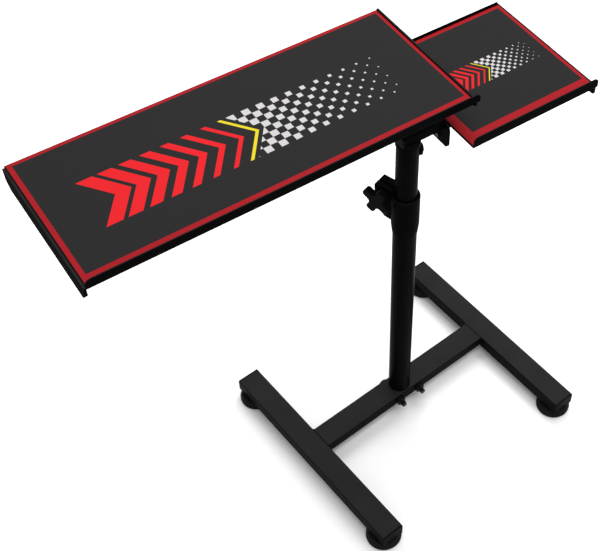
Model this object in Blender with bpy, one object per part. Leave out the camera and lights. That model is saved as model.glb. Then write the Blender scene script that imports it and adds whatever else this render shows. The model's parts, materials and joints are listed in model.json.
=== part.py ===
"""Free-standing keyboard and mouse tray stand.

An H-shaped steel base carries a telescoping round column. The head on the
column swivels, and carries a long keyboard tray and a smaller, lower mouse
tray, each on its own tilt pivot. The mouse tray also slides sideways.

Units are metres. +X runs along the cross bar, +Y to the back, +Z up.
"""

import math

import bmesh
import bpy
from mathutils import Matrix, Vector

# ---------------------------------------------------------------- clearances
GAP = 0.0003                    # between faces that rest on each other
SCREW_CLEARANCE = 0.0004        # radial, a screw in its hole
RUNNING_CLEARANCE = 0.0003      # radial, parts that turn or slide in each other
BOSS_CLEARANCE = 0.0003         # side play of plates that swing beside each other
WELD_DISTANCE = 0.00001         # corners closer than this are one corner
EMPTY_SIZE = 0.03               # drawn size of the axes' empties

# --------------------------------------------------------------------- base
BAR_WIDTH = 0.050
BAR_HEIGHT = 0.032
BAR_WALL = 0.002
BAR_CORNER = 0.003
BAR_FRONT_REACH = 0.2644        # cross bar's centre line to the front end
BAR_REAR_REACH = 0.2275         # cross bar's centre line to the rear end
CROSS_LENGTH = 0.4378           # between the foot bars' inner sides
CROSS_WIDTH = 0.0526
CROSS_HEIGHT = 0.0268
CAP_FACE = 0.003                # end cap's visible plate
CAP_PLUG_DEPTH = 0.012

FOOT_RADIUS = 0.0365
FOOT_HEIGHT = 0.018
FOOT_CHAMFER = 0.0015
FOOT_SIDE = 0.0075              # height of the foot's upright side
FOOT_TOP_RADIUS = 0.0315        # sloping shoulder's upper edge
FOOT_INSET = 0.029              # foot's centre from the bar's end
STUD_RADIUS = 0.004
STUD_SEAT = 0.010               # depth of the stud in the foot
STUD_REACH = 0.018              # stud's length above the foot
INSERT_RADIUS = 0.0062
INSERT_LENGTH = 0.012
INSERT_FLANGE_RADIUS = 0.009
INSERT_FLANGE = 0.0015

# ------------------------------------------------------------------- column
COLUMN_OFFSET = -0.00275        # column's axis from the cross bar's middle
OUTER_TUBE_RADIUS = 0.0229
OUTER_TUBE_WALL = 0.0015
OUTER_TUBE_LENGTH = 0.592
INNER_TUBE_RADIUS = 0.0206
INNER_TUBE_WALL = 0.0015
INNER_TUBE_LENGTH = 0.500
INNER_TUBE_RISE = 0.722         # inner tube's top above the base's top face
BUSH_LENGTH = 0.060
BUSH_FLANGE = 0.003
SHOE_LENGTH = 0.092
SPIGOT_RISE = 0.040             # shoe's spigot above the base's top face
SHOE_BOLT_RADIUS = 0.006
SHOE_BOLT_SPACING = 0.053
SHOE_BOLT_OFFSET = 0.0025       # middle of the two bolts from the cross bar's middle
PLUG_LENGTH = 0.014
PLUG_FLANGE = 0.002

COLLAR_RADIUS = 0.0262
COLLAR_HEIGHT = 0.072           # straight part
COLLAR_TAPER = 0.022            # tapered part below it
COLLAR_TAPER_LIP = 0.0008
COLLAR_OVERHANG = 0.005         # collar's rim above the outer tube's end
COLLAR_RIM_CHAMFER = 0.0008
COLLAR_AZIMUTH = math.radians(14)   # ears' direction, from the rear to the left
EAR_KNOB_SIDE = 0.013           # ears' faces from the slit's middle
EAR_NUT_SIDE = 0.016
EAR_REACH = 0.060               # ears' end from the column's axis
EAR_END_DEPTH = 0.047           # height of the ears' end face
EAR_ELBOW_REACH = 0.038
EAR_ELBOW_DEPTH = 0.072
EAR_ROOT_DEPTH = 0.076
EAR_TOP_RISE = 0.003            # ears' top face above the collar's rim
EAR_CORNER = 0.002
EAR_SLIT = 0.003
CLAMP_REACH = 0.041             # clamp screw from the column's axis
CLAMP_DROP = 0.015              # clamp screw below the collar's rim
CLAMP_SCREW_RADIUS = 0.004
CLAMP_SCREW_BITE = 0.010        # screw's length inside the knob
KNOB_RADIUS = 0.030
KNOB_LOBE_WIDTH = 0.0185
KNOB_LOBE_THICKNESS = 0.013
KNOB_LOBE_CORNER = 0.0055
KNOB_VALLEY_FILLET = 0.007
KNOB_ANGLE = math.radians(28)   # first lobe above the horizontal
KNOB_HUB_RADIUS = 0.012
KNOB_HUB_LENGTH = 0.011
KNOB_EDGE = 0.0015              # bevel round the lobes' faces

# --------------------------------------------------------------------- head
HEAD_YAW = math.radians(-5.2745)    # head's turn about the column at rest
HUB_RADIUS = 0.0222
HUB_THICKNESS = 0.009
HUB_SPIGOT_LENGTH = 0.034
LOCK_DROP = 0.018               # lock screw below the inner tube's top
LOCK_AZIMUTH = math.radians(-20)
LOCK_BOSS_RADIUS = 0.0115
LOCK_BOSS_REACH = 0.0245
LOCK_SCREW_RADIUS = 0.005
LOCK_GROOVE_DEPTH = 0.0015
LOCK_GROOVE_WIDTH = 0.0108
ARM_WIDTH = 0.030
ARM_HEIGHT = 0.020
ARM_WALL = 0.002
ARM_CORNER = 0.0025
ARM_LEFT_REACH = 0.0215         # arm's capped end from the column's axis
PLATE_REACH = 0.063             # drop plate's inner face from the column's axis
PLATE_THICKNESS = 0.004
PLATE_FRONT = 0.030             # plate's front and rear edges from the axis
PLATE_REAR = 0.034
PLATE_DROP = 0.0313             # plate's lower edge below the arm
PLATE_CORNER = 0.015
PLATE_CHAMFER = 0.006

# ------------------------------------------------------------- keyboard tray
KEYBOARD_TOP = 0.800            # mat's face above the base's top face
KEYBOARD_LEFT = 0.5974          # pan's ends from the column's axis
KEYBOARD_RIGHT = 0.1030
KEYBOARD_FRONT = 0.0475
KEYBOARD_REAR = 0.2460
MAT_THICKNESS = 0.003
SHEET = 0.002                   # thickness of the pans' steel sheet
SHEET_BEND = 0.0035             # outer bend radius of the pans
LIP_ROUND = 0.0095              # front lips' upper corners
LIP_OVERLAP = 0.001             # lip and pan sheet above their bend
REAR_WALL_HEIGHT = 0.023        # keyboard pan's rear wall, mat included
KEYBOARD_LIP_RISE = 0.015       # front lip above the mat
KEYBOARD_LIP_END = 0.1115       # lip's right end from the column's axis
KEYBOARD_LEFT_PLATE = 0.0042
LEFT_PLATE_HEIGHT = 0.038
LEFT_PLATE_NOSE = 0.016         # height of its upright front edge
LEFT_PLATE_SLANT = 0.0175       # run of the slanted edge below it
LEFT_PLATE_REAR = 0.2430
LEFT_PLATE_CUT = 0.013          # cut of its lower rear corner
PLATE_EDGE_ROUND = 0.002
KEYBOARD_RIGHT_PLATE = 0.004
KEYBOARD_EDGE_RISE = 0.003      # right plate above the mat
RIGHT_PLATE_DEPTH = 0.013       # and below it
RAIL_LEFT = 0.430               # stiffening channel's ends from the column's axis
RAIL_RIGHT = 0.090
RAIL_WIDTH = 0.034
RAIL_HEIGHT = 0.009
KEYBOARD_PIVOT_DROP = 0.028     # tilt axis below the mat's face
LUG_SPAN = 0.046                # between the arm lugs' middles
LUG_MIDDLE = 0.016              # middle of the lugs from the column's axis
LUG_THICKNESS = 0.004
LUG_RADIUS = 0.009
PIVOT_RADIUS = 0.003

# ---------------------------------------------------------------- mouse tray
MOUSE_TOP = 0.740               # mat's face above the base's top face
MOUSE_LEFT = 0.0765             # pan's ends from the column's axis
MOUSE_RIGHT = 0.3482
MOUSE_FRONT = 0.0830
MOUSE_REAR = 0.1990
MOUSE_LIP_RISE = 0.0175         # front lip above the mat
MOUSE_LIP_END = 0.3520          # lip's right end from the column's axis
MOUSE_RIM_RISE = 0.0045         # rear rim above the mat
MOUSE_RIGHT_PLATE = 0.003
MOUSE_PLATE_DEPTH = 0.022
MOUSE_PLATE_ROUND = 0.006
MOUSE_PIVOT_DROP = 0.028        # tilt axis below the mat's face
BRACKET_THICKNESS = 0.003
BRACKET_REACH = 0.2650          # bracket's end from the column's axis
BRACKET_HALF_WIDTH = 0.016
BRACKET_NOSE_RADIUS = 0.011
SLIDE_TRAVEL = 0.080
SLIDE_SCREW_RADIUS = 0.0025
SLIDE_SCREW_BITE = 0.0012       # screw's end inside the pan's sheet
SLOT_LEFT_START = 0.082         # slots' left ends from the column's axis
SLOT_RIGHT_START = 0.174
SLOT_ROUND = 0.98               # end fillets by half the slot's width

# ---------------------------------------------------- sizes that follow those
BAR_BOTTOM = FOOT_HEIGHT + GAP
BASE_TOP = BAR_BOTTOM + BAR_HEIGHT
FOOT_BAR_X = CROSS_LENGTH / 2 + BAR_WIDTH / 2
OUTER_TUBE_BORE = OUTER_TUBE_RADIUS - OUTER_TUBE_WALL
OUTER_TUBE_TOP = BASE_TOP + GAP + OUTER_TUBE_LENGTH
INNER_TUBE_BORE = INNER_TUBE_RADIUS - INNER_TUBE_WALL
INNER_TUBE_TOP = BASE_TOP + INNER_TUBE_RISE
COLLAR_TOP = OUTER_TUBE_TOP + COLLAR_OVERHANG
COLLAR_BORE = OUTER_TUBE_RADIUS + GAP
CLAMP_HEIGHT = COLLAR_TOP - CLAMP_DROP
ARM_BOTTOM = INNER_TUBE_TOP + GAP + HUB_THICKNESS + GAP
ARM_TOP = ARM_BOTTOM + ARM_HEIGHT
PLATE_BOTTOM = ARM_BOTTOM - PLATE_DROP
BRACKET_FACE = PLATE_REACH + PLATE_THICKNESS + GAP
KEYBOARD_PIVOT = BASE_TOP + KEYBOARD_TOP - KEYBOARD_PIVOT_DROP
MOUSE_PIVOT = BASE_TOP + MOUSE_TOP - MOUSE_PIVOT_DROP
SHEET_DROP = MAT_THICKNESS + GAP + SHEET    # pan sheet's underside below the mat's face

# ------------------------------------------------------------ thread standards
HEX_FLATS = 3.25                # across flats by screw radius
LARGE_HEX_FLATS = 3.0           # the same from M12 on
LARGE_SCREW_RADIUS = 0.006
HEX_HEAD = 1.375                # bolt head's height by screw radius
HEX_NUT = 1.625                 # nut's height by screw radius
WASHER_RADIUS = 2.1             # washer face by screw radius
WASHER_HEIGHT = 0.4
BOLT_TIP = 0.5                  # bolt's end beyond its nut, by screw radius
BOLT_SEGMENTS = 16
HOLE_SEGMENTS = 24
BOSS_SEGMENTS = 24
FOOT_SEGMENTS = 40
TUBE_SEGMENTS = 48
ARC_STEPS = 10                  # half circles of lugs and bracket


# ---------------------------------------------------------------- materials
def make_material(name, colour, roughness, metallic):
    """One Principled material."""
    material = bpy.data.materials.new(name)
    material.use_nodes = True
    shader = material.node_tree.nodes["Principled BSDF"]
    shader.inputs["Base Color"].default_value = (*colour, 1.0)
    shader.inputs["Roughness"].default_value = roughness
    shader.inputs["Metallic"].default_value = metallic
    material.diffuse_color = (*colour, 1.0)
    return material


FINISHES = {
    "powder_coat": ((0.022, 0.021, 0.022), 0.55, 0.0),
    "tube_coat": ((0.014, 0.014, 0.014), 0.42, 0.0),
    "moulded_black": ((0.018, 0.018, 0.018), 0.60, 0.0),
    "zinc": ((0.55, 0.55, 0.54), 0.35, 1.0),
    "black_steel": ((0.035, 0.035, 0.036), 0.40, 1.0),
    "mat_rubber": ((0.030, 0.028, 0.029), 0.85, 0.0),
    "foot_rubber": ((0.035, 0.035, 0.035), 0.80, 0.0),
}


# ------------------------------------------------------------------ outlines
def rounded(corners, radii, steps=4):
    """Outline through corners, each one filleted to its radius by an arc."""
    outline = []
    count = len(corners)
    for index, corner in enumerate(corners):
        here = Vector(corner)
        radius = radii[index]
        if radius == 0:
            outline.append(here)
            continue
        to_last = (Vector(corners[index - 1]) - here).normalized()
        to_next = (Vector(corners[(index + 1) % count]) - here).normalized()
        half_angle = to_last.angle(to_next) / 2
        reach = radius / math.tan(half_angle)
        middle = here + (to_last + to_next).normalized() * (radius / math.sin(half_angle))
        start = here + to_last * reach - middle
        end = here + to_next * reach - middle
        sweep = start.angle_signed(end)
        for step in range(steps + 1):
            turn = Matrix.Rotation(-sweep * step / steps, 2)
            outline.append(middle + turn @ start)
    return outline


def rectangle(width, height, corner=0.0, steps=3, centre=(0.0, 0.0)):
    """Rectangle about its centre, with equal corner fillets."""
    x = width / 2
    y = height / 2
    corners = [(-x, -y), (x, -y), (x, y), (-x, y)]
    shifted = [(a + centre[0], b + centre[1]) for a, b in corners]
    return rounded(shifted, [corner] * 4, steps)


def circle(radius, segments, centre=(0.0, 0.0), phase=0.0):
    """Regular polygon that stands for a circle."""
    angles = [phase + math.tau * step / segments for step in range(segments)]
    return [Vector((centre[0] + radius * math.cos(a), centre[1] + radius * math.sin(a))) for a in angles]


# -------------------------------------------------------------------- shapes
ALONG = {
    "X": Matrix(((0, 0, 1, 0), (1, 0, 0, 0), (0, 1, 0, 0), (0, 0, 0, 1))),
    "Y": Matrix(((1, 0, 0, 0), (0, 0, 1, 0), (0, 1, 0, 0), (0, 0, 0, 1))),
    "Z": Matrix.Identity(4),
}


def prism(outline, start, end, axis="Z"):
    """Outline extruded from start to end along an axis.

    Along X the outline is drawn in (Y, Z), along Y in (X, Z), along Z in (X, Y).
    """
    shape = bmesh.new()
    face = shape.faces.new([shape.verts.new((point[0], point[1], start)) for point in outline])
    extruded = bmesh.ops.extrude_face_region(shape, geom=[face])
    moved = [item for item in extruded["geom"] if isinstance(item, bmesh.types.BMVert)]
    bmesh.ops.translate(shape, verts=moved, vec=(0, 0, end - start))
    shape.transform(ALONG[axis])
    return shape


def hollow_prism(outer, inner, start, end, axis="Z"):
    """Tube between two outlines of as many points, open at both ends."""
    shape = bmesh.new()
    rings = []
    for outline, height in ((outer, start), (outer, end), (inner, end), (inner, start)):
        rings.append([shape.verts.new((point[0], point[1], height)) for point in outline])
    count = len(outer)
    for ring, following in zip(rings, rings[1:] + rings[:1]):
        for index in range(count):
            after = (index + 1) % count
            shape.faces.new((ring[index], ring[after], following[after], following[index]))
    shape.transform(ALONG[axis])
    return shape


def turned(profile, segments, closed=False, axis="Z"):
    """Profile of (radius, height) points spun about an axis.

    An open profile begins and ends on the axis, a closed one makes a ring.
    """
    shape = bmesh.new()
    verts = [shape.verts.new((radius, 0.0, height)) for radius, height in profile]
    edges = [shape.edges.new(pair) for pair in zip(verts, verts[1:])]
    if closed:
        edges.append(shape.edges.new((verts[-1], verts[0])))
    bmesh.ops.spin(
        shape, geom=verts + edges, axis=(0, 0, 1), cent=(0, 0, 0), dvec=(0, 0, 0),
        angle=math.tau, steps=segments, use_merge=True, use_duplicate=False,
    )
    bmesh.ops.remove_doubles(shape, verts=shape.verts[:], dist=1e-6)
    bmesh.ops.dissolve_degenerate(shape, edges=shape.edges[:], dist=1e-7)
    if axis == "X":
        shape.transform(Matrix.Rotation(math.pi / 2, 4, "Y"))
    if axis == "Y":
        shape.transform(Matrix.Rotation(-math.pi / 2, 4, "X"))
    return shape


def add_part(name, shape, finish, parent, place=(0, 0, 0), turn=None):
    """Named object from a shape, in its parent's frame."""
    if turn is not None:
        shape.transform(turn)
    bmesh.ops.translate(shape, verts=shape.verts[:], vec=place)
    bmesh.ops.recalc_face_normals(shape, faces=shape.faces[:])
    mesh = bpy.data.meshes.new(name)
    shape.to_mesh(mesh)
    shape.free()
    part = bpy.data.objects.new(name, mesh)
    bpy.context.scene.collection.objects.link(part)
    part.parent = parent
    if finish is not None:
        mesh.materials.append(MATERIALS[finish])
    return part


def weld(part):
    """Merges the doubled corners that a Boolean leaves where faces cross."""
    shape = bmesh.new()
    shape.from_mesh(part.data)
    bmesh.ops.remove_doubles(shape, verts=shape.verts[:], dist=WELD_DISTANCE)
    bmesh.ops.dissolve_degenerate(shape, edges=shape.edges[:], dist=WELD_DISTANCE)
    shape.to_mesh(part.data)
    shape.free()


def combine(part, shape, operation, place=(0, 0, 0), turn=None):
    """Boolean of a part with one more shape in the same frame."""
    tool = add_part("tool", shape, None, part.parent, place, turn)
    bpy.context.view_layer.update()
    modifier = part.modifiers.new(operation.lower(), "BOOLEAN")
    modifier.operation = operation
    modifier.solver = "EXACT"
    modifier.object = tool
    bpy.context.view_layer.objects.active = part
    bpy.ops.object.modifier_apply(modifier=modifier.name)
    tool_mesh = tool.data
    bpy.data.objects.remove(tool)
    bpy.data.meshes.remove(tool_mesh)
    weld(part)


def add_empty(name, parent, place, turn=0.0):
    """Empty that carries a group of pieces, on their joint's axis where they move."""
    empty = bpy.data.objects.new(name, None)
    bpy.context.scene.collection.objects.link(empty)
    empty.empty_display_size = EMPTY_SIZE
    empty.parent = parent
    empty.location = place
    empty.rotation_euler = (0.0, 0.0, turn)
    return empty


def disc(radius, start, end, segments):
    """Solid cylinder's profile."""
    return turned([(0, start), (radius, start), (radius, end), (0, end)], segments)


def quarter_turn(axis, sign=1):
    """Turn that lays +Z along +X or +Y (or the other way when sign is -1)."""
    if axis == "X":
        return Matrix.Rotation(sign * math.pi / 2, 4, "Y")
    return Matrix.Rotation(-sign * math.pi / 2, 4, "X")


# ----------------------------------------------------------------- fasteners
def hex_outline(across_flats):
    """Six-sided outline with a corner towards +Y."""
    return circle(across_flats / 2 / math.cos(math.pi / 6), 6, phase=math.pi / 2)


def across_flats(radius):
    """Width of a hex head or nut for a screw's radius."""
    return radius * (LARGE_HEX_FLATS if radius >= LARGE_SCREW_RADIUS else HEX_FLATS)


def add_bolt(name, radius, length, parent, place, turn):
    """Hex bolt with its washer face: the head lies below z = 0, the shank runs up."""
    washer = radius * WASHER_HEIGHT
    head = prism(hex_outline(across_flats(radius)), -washer - radius * HEX_HEAD, -washer / 2)
    bolt = add_part(name, head, "black_steel", parent, place, turn)
    combine(bolt, disc(radius * WASHER_RADIUS, -washer, 0, BOLT_SEGMENTS), "UNION", place, turn)
    combine(bolt, disc(radius, -washer / 2, length, BOLT_SEGMENTS), "UNION", place, turn)
    return bolt


def add_nut(name, radius, parent, place, turn):
    """Hex nut that stands on z = 0."""
    height = radius * HEX_NUT
    bore = circle(radius + SCREW_CLEARANCE, HOLE_SEGMENTS, phase=math.pi / 2)
    hexagon = prism(hex_outline(across_flats(radius)), 0, height)
    nut = add_part(name, hexagon, "black_steel", parent, place, turn)
    combine(nut, prism(bore, -GAP, height + GAP), "DIFFERENCE", place, turn)
    return nut


# ---------------------------------------------------------------------- base
def add_foot_bar(side, sign, stand):
    """Rectangular tube with holes for its two feet, and its two end caps."""
    centre_x = sign * FOOT_BAR_X
    middle_z = BAR_BOTTOM + BAR_HEIGHT / 2
    outer = rectangle(BAR_WIDTH, BAR_HEIGHT, BAR_CORNER)
    inner = rectangle(BAR_WIDTH - 2 * BAR_WALL, BAR_HEIGHT - 2 * BAR_WALL, BAR_CORNER - BAR_WALL)
    front = -BAR_FRONT_REACH + CAP_FACE + GAP
    rear = BAR_REAR_REACH - CAP_FACE - GAP
    bar = add_part(f"{side}_foot_bar", hollow_prism(outer, inner, front, rear, "Y"),
                   "powder_coat", stand, (centre_x, 0, middle_z))
    hole_radius = INSERT_RADIUS + SCREW_CLEARANCE
    for foot_y in (-BAR_FRONT_REACH + FOOT_INSET, BAR_REAR_REACH - FOOT_INSET):
        hole = disc(hole_radius, BAR_BOTTOM - GAP, BAR_BOTTOM + BAR_WALL + GAP, HOLE_SEGMENTS)
        combine(bar, hole, "DIFFERENCE", (centre_x, foot_y, 0))

    plug = rectangle(BAR_WIDTH - 2 * BAR_WALL - 2 * GAP, BAR_HEIGHT - 2 * BAR_WALL - 2 * GAP,
                     BAR_CORNER - BAR_WALL)
    for end, face_y, inward in (("front", -BAR_FRONT_REACH, 1), ("rear", BAR_REAR_REACH, -1)):
        cap = add_part(f"{side}_{end}_bar_cap", prism(outer, 0, inward * CAP_FACE, "Y"),
                       "moulded_black", stand, (centre_x, face_y, middle_z))
        body = prism(plug, inward * CAP_FACE / 2, inward * (CAP_FACE + CAP_PLUG_DEPTH), "Y")
        combine(cap, body, "UNION", (centre_x, face_y, middle_z))


def add_cross_bar(stand):
    """Rectangular tube between the foot bars, bored for the shoe and its two bolts."""
    middle_z = BASE_TOP - CROSS_HEIGHT / 2
    reach = CROSS_LENGTH / 2 - GAP
    outer = rectangle(CROSS_WIDTH, CROSS_HEIGHT, BAR_CORNER)
    inner = rectangle(CROSS_WIDTH - 2 * BAR_WALL, CROSS_HEIGHT - 2 * BAR_WALL, BAR_CORNER - BAR_WALL)
    bar = add_part("cross_bar", hollow_prism(outer, inner, -reach, reach, "X"),
                   "powder_coat", stand, (0, 0, middle_z))
    spigot_hole = disc(OUTER_TUBE_BORE, BASE_TOP - BAR_WALL - GAP, BASE_TOP + GAP, TUBE_SEGMENTS)
    combine(bar, spigot_hole, "DIFFERENCE", (COLUMN_OFFSET, 0, 0))
    for sign in (-1, 1):
        bolt_x = SHOE_BOLT_OFFSET + sign * SHOE_BOLT_SPACING / 2
        hole = disc(SHOE_BOLT_RADIUS + SCREW_CLEARANCE, -CROSS_WIDTH, CROSS_WIDTH, HOLE_SEGMENTS)
        combine(bar, hole, "DIFFERENCE", (bolt_x, 0, middle_z), quarter_turn("Y"))


def add_shoe(stand):
    """Block inside the cross bar with a round spigot that fills the outer tube's foot."""
    middle_z = BASE_TOP - CROSS_HEIGHT / 2
    width = CROSS_WIDTH - 2 * BAR_WALL - 2 * GAP
    height = CROSS_HEIGHT - 2 * BAR_WALL - 2 * GAP
    section = rectangle(width, height, BAR_CORNER - BAR_WALL)
    shoe = add_part("column_shoe", prism(section, -SHOE_LENGTH / 2, SHOE_LENGTH / 2, "X"),
                    "zinc", stand, (SHOE_BOLT_OFFSET, 0, middle_z))
    spigot = disc(OUTER_TUBE_BORE - RUNNING_CLEARANCE, middle_z, BASE_TOP + SPIGOT_RISE, TUBE_SEGMENTS)
    combine(shoe, spigot, "UNION", (COLUMN_OFFSET, 0, 0))
    for side, sign in (("left", -1), ("right", 1)):
        bolt_x = SHOE_BOLT_OFFSET + sign * SHOE_BOLT_SPACING / 2
        hole = disc(SHOE_BOLT_RADIUS + SCREW_CLEARANCE, -CROSS_WIDTH, CROSS_WIDTH, HOLE_SEGMENTS)
        combine(shoe, hole, "DIFFERENCE", (bolt_x, 0, middle_z), quarter_turn("Y"))
        length = CROSS_WIDTH + 2 * GAP + SHOE_BOLT_RADIUS * (HEX_NUT + BOLT_TIP)
        add_bolt(f"{side}_shoe_bolt", SHOE_BOLT_RADIUS, length, stand,
                 (bolt_x, CROSS_WIDTH / 2 + GAP, middle_z), quarter_turn("Y", -1))
        add_nut(f"{side}_shoe_nut", SHOE_BOLT_RADIUS, stand,
                (bolt_x, -CROSS_WIDTH / 2 - GAP, middle_z), quarter_turn("Y", -1))


def add_foot(end, side, sign, foot_y, stand):
    """Round foot on its threaded stud, and the insert in the bar that takes the stud."""
    centre = (sign * FOOT_BAR_X, foot_y, 0.0)
    bore = STUD_RADIUS + SCREW_CLEARANCE
    top = BAR_BOTTOM + BAR_WALL + GAP
    sleeve = INSERT_RADIUS
    insert_profile = [
        (bore, BAR_BOTTOM), (sleeve, BAR_BOTTOM), (sleeve, top), (INSERT_FLANGE_RADIUS, top),
        (INSERT_FLANGE_RADIUS, top + INSERT_FLANGE), (sleeve, top + INSERT_FLANGE),
        (sleeve, BAR_BOTTOM + INSERT_LENGTH), (bore, BAR_BOTTOM + INSERT_LENGTH),
    ]
    insert = turned(insert_profile, HOLE_SEGMENTS, closed=True)
    add_part(f"{end}_{side}_insert", insert, "zinc", stand, centre)

    empty = add_empty(f"{end}_{side}_foot_axis", stand, centre)
    foot_profile = [
        (0, 0), (FOOT_RADIUS - FOOT_CHAMFER, 0), (FOOT_RADIUS, FOOT_CHAMFER),
        (FOOT_RADIUS, FOOT_SIDE), (FOOT_TOP_RADIUS, FOOT_HEIGHT), (bore, FOOT_HEIGHT),
        (bore, FOOT_HEIGHT - STUD_SEAT), (0, FOOT_HEIGHT - STUD_SEAT),
    ]
    add_part(f"{end}_{side}_foot_pad", turned(foot_profile, FOOT_SEGMENTS), "foot_rubber", empty)
    stud = disc(STUD_RADIUS, FOOT_HEIGHT - STUD_SEAT + GAP, FOOT_HEIGHT + STUD_REACH, BOLT_SEGMENTS)
    add_part(f"{end}_{side}_foot_stud", stud, "zinc", empty)


def add_base(stand):
    """Everything that stands still: bars, shoe and feet."""
    add_cross_bar(stand)
    add_shoe(stand)
    for side, sign in (("left", -1), ("right", 1)):
        add_foot_bar(side, sign, stand)
        add_foot("front", side, sign, -BAR_FRONT_REACH + FOOT_INSET, stand)
        add_foot("rear", side, sign, BAR_REAR_REACH - FOOT_INSET, stand)


# -------------------------------------------------------------------- column
def add_outer_tube(column):
    """Outer tube, the guide bush in its mouth."""
    outer = circle(OUTER_TUBE_RADIUS, TUBE_SEGMENTS)
    inner = circle(OUTER_TUBE_BORE, TUBE_SEGMENTS)
    add_part("outer_tube", hollow_prism(outer, inner, BASE_TOP + GAP, OUTER_TUBE_TOP), "tube_coat", column)

    bore = INNER_TUBE_RADIUS + RUNNING_CLEARANCE / 2
    sleeve = OUTER_TUBE_BORE - RUNNING_CLEARANCE / 2
    seat = OUTER_TUBE_TOP + GAP
    profile = [
        (bore, OUTER_TUBE_TOP - BUSH_LENGTH), (sleeve, OUTER_TUBE_TOP - BUSH_LENGTH), (sleeve, seat),
        (OUTER_TUBE_RADIUS, seat), (OUTER_TUBE_RADIUS, seat + BUSH_FLANGE), (bore, seat + BUSH_FLANGE),
    ]
    add_part("column_bush", turned(profile, TUBE_SEGMENTS, closed=True), "moulded_black", column)


def add_collar(clamp):
    """Split collar round the outer tube: tapered sleeve, two ears and the slit between them."""
    straight = COLLAR_TOP - COLLAR_HEIGHT
    foot = straight - COLLAR_TAPER
    sleeve = turned([
        (0, foot), (COLLAR_BORE + COLLAR_TAPER_LIP, foot), (COLLAR_RADIUS, straight),
        (COLLAR_RADIUS, COLLAR_TOP - COLLAR_RIM_CHAMFER),
        (COLLAR_RADIUS - COLLAR_RIM_CHAMFER, COLLAR_TOP), (0, COLLAR_TOP),
    ], TUBE_SEGMENTS)
    collar = add_part("clamp_collar", sleeve, "powder_coat", clamp)
    ear_outline = rounded(
        [
            (0, -EAR_ROOT_DEPTH), (EAR_ELBOW_REACH, -EAR_ELBOW_DEPTH),
            (EAR_REACH, -EAR_END_DEPTH), (EAR_REACH, 0), (0, 0),
        ],
        [0, EAR_CORNER * 2, EAR_CORNER, EAR_CORNER, 0],
    )
    ears = prism(ear_outline, -EAR_KNOB_SIDE, EAR_NUT_SIDE, "X")
    ears_top = COLLAR_TOP + EAR_TOP_RISE
    combine(collar, ears, "UNION", (0, 0, ears_top))
    bore = disc(COLLAR_BORE, foot - GAP, ears_top + GAP, TUBE_SEGMENTS)
    combine(collar, bore, "DIFFERENCE")
    slit = prism(rectangle(EAR_SLIT, EAR_REACH, centre=(0, EAR_REACH / 2 + COLLAR_BORE - EAR_SLIT)),
                 foot - GAP, ears_top + GAP)
    combine(collar, slit, "DIFFERENCE")
    screw_hole = disc(CLAMP_SCREW_RADIUS + SCREW_CLEARANCE, -EAR_REACH, EAR_REACH, HOLE_SEGMENTS)
    combine(collar, screw_hole, "DIFFERENCE", (0, CLAMP_REACH, CLAMP_HEIGHT), quarter_turn("X"))


def knob_outline():
    """Cross of four lobes with round tips and filleted valleys."""
    half = KNOB_LOBE_WIDTH / 2
    corners = []
    radii = []
    for lobe in range(4):
        turn = Matrix.Rotation(lobe * math.pi / 2, 2)
        for corner, radius in (
            ((half, -half), KNOB_VALLEY_FILLET),
            ((KNOB_RADIUS, -half), KNOB_LOBE_CORNER),
            ((KNOB_RADIUS, half), KNOB_LOBE_CORNER),
        ):
            corners.append(turn @ Vector(corner))
            radii.append(radius)
    return rounded(corners, radii)


def add_clamp(clamp):
    """Clamp screw with its knob and nut, across the collar's ears."""
    axis_place = (0, CLAMP_REACH, CLAMP_HEIGHT)
    nut_place = (EAR_NUT_SIDE + GAP, CLAMP_REACH, CLAMP_HEIGHT)
    add_nut("clamp_nut", CLAMP_SCREW_RADIUS, clamp, nut_place, quarter_turn("X"))

    knob_axis = add_empty("clamp_knob_axis", clamp, axis_place)
    hub_start = -EAR_KNOB_SIDE - GAP
    lobes_start = hub_start - KNOB_HUB_LENGTH
    lobes_end = lobes_start - KNOB_LOBE_THICKNESS
    turn = Matrix.Rotation(KNOB_ANGLE, 4, "X")
    knob = add_part("clamp_knob", prism(knob_outline(), lobes_end, lobes_start, "X"),
                    "moulded_black", knob_axis, (0, 0, 0), turn)
    modifier = knob.modifiers.new("rounded edges", "BEVEL")
    modifier.width = KNOB_EDGE
    modifier.segments = 1
    modifier.limit_method = "ANGLE"
    modifier.angle_limit = math.radians(60)
    bpy.context.view_layer.objects.active = knob
    bpy.ops.object.modifier_apply(modifier=modifier.name)
    hub = disc(KNOB_HUB_RADIUS, lobes_end + KNOB_LOBE_THICKNESS / 2, hub_start, BOSS_SEGMENTS)
    combine(knob, hub, "UNION", turn=quarter_turn("X"))
    screw_end = lobes_start - CLAMP_SCREW_BITE
    socket = disc(CLAMP_SCREW_RADIUS + GAP, screw_end - GAP, hub_start + GAP, BOLT_SEGMENTS)
    combine(knob, socket, "DIFFERENCE", turn=quarter_turn("X"))
    screw_tip = EAR_NUT_SIDE + GAP + CLAMP_SCREW_RADIUS * (HEX_NUT + BOLT_TIP)
    screw = disc(CLAMP_SCREW_RADIUS, screw_end, screw_tip, BOLT_SEGMENTS)
    add_part("clamp_screw", screw, "zinc", knob_axis, turn=quarter_turn("X"))


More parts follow.
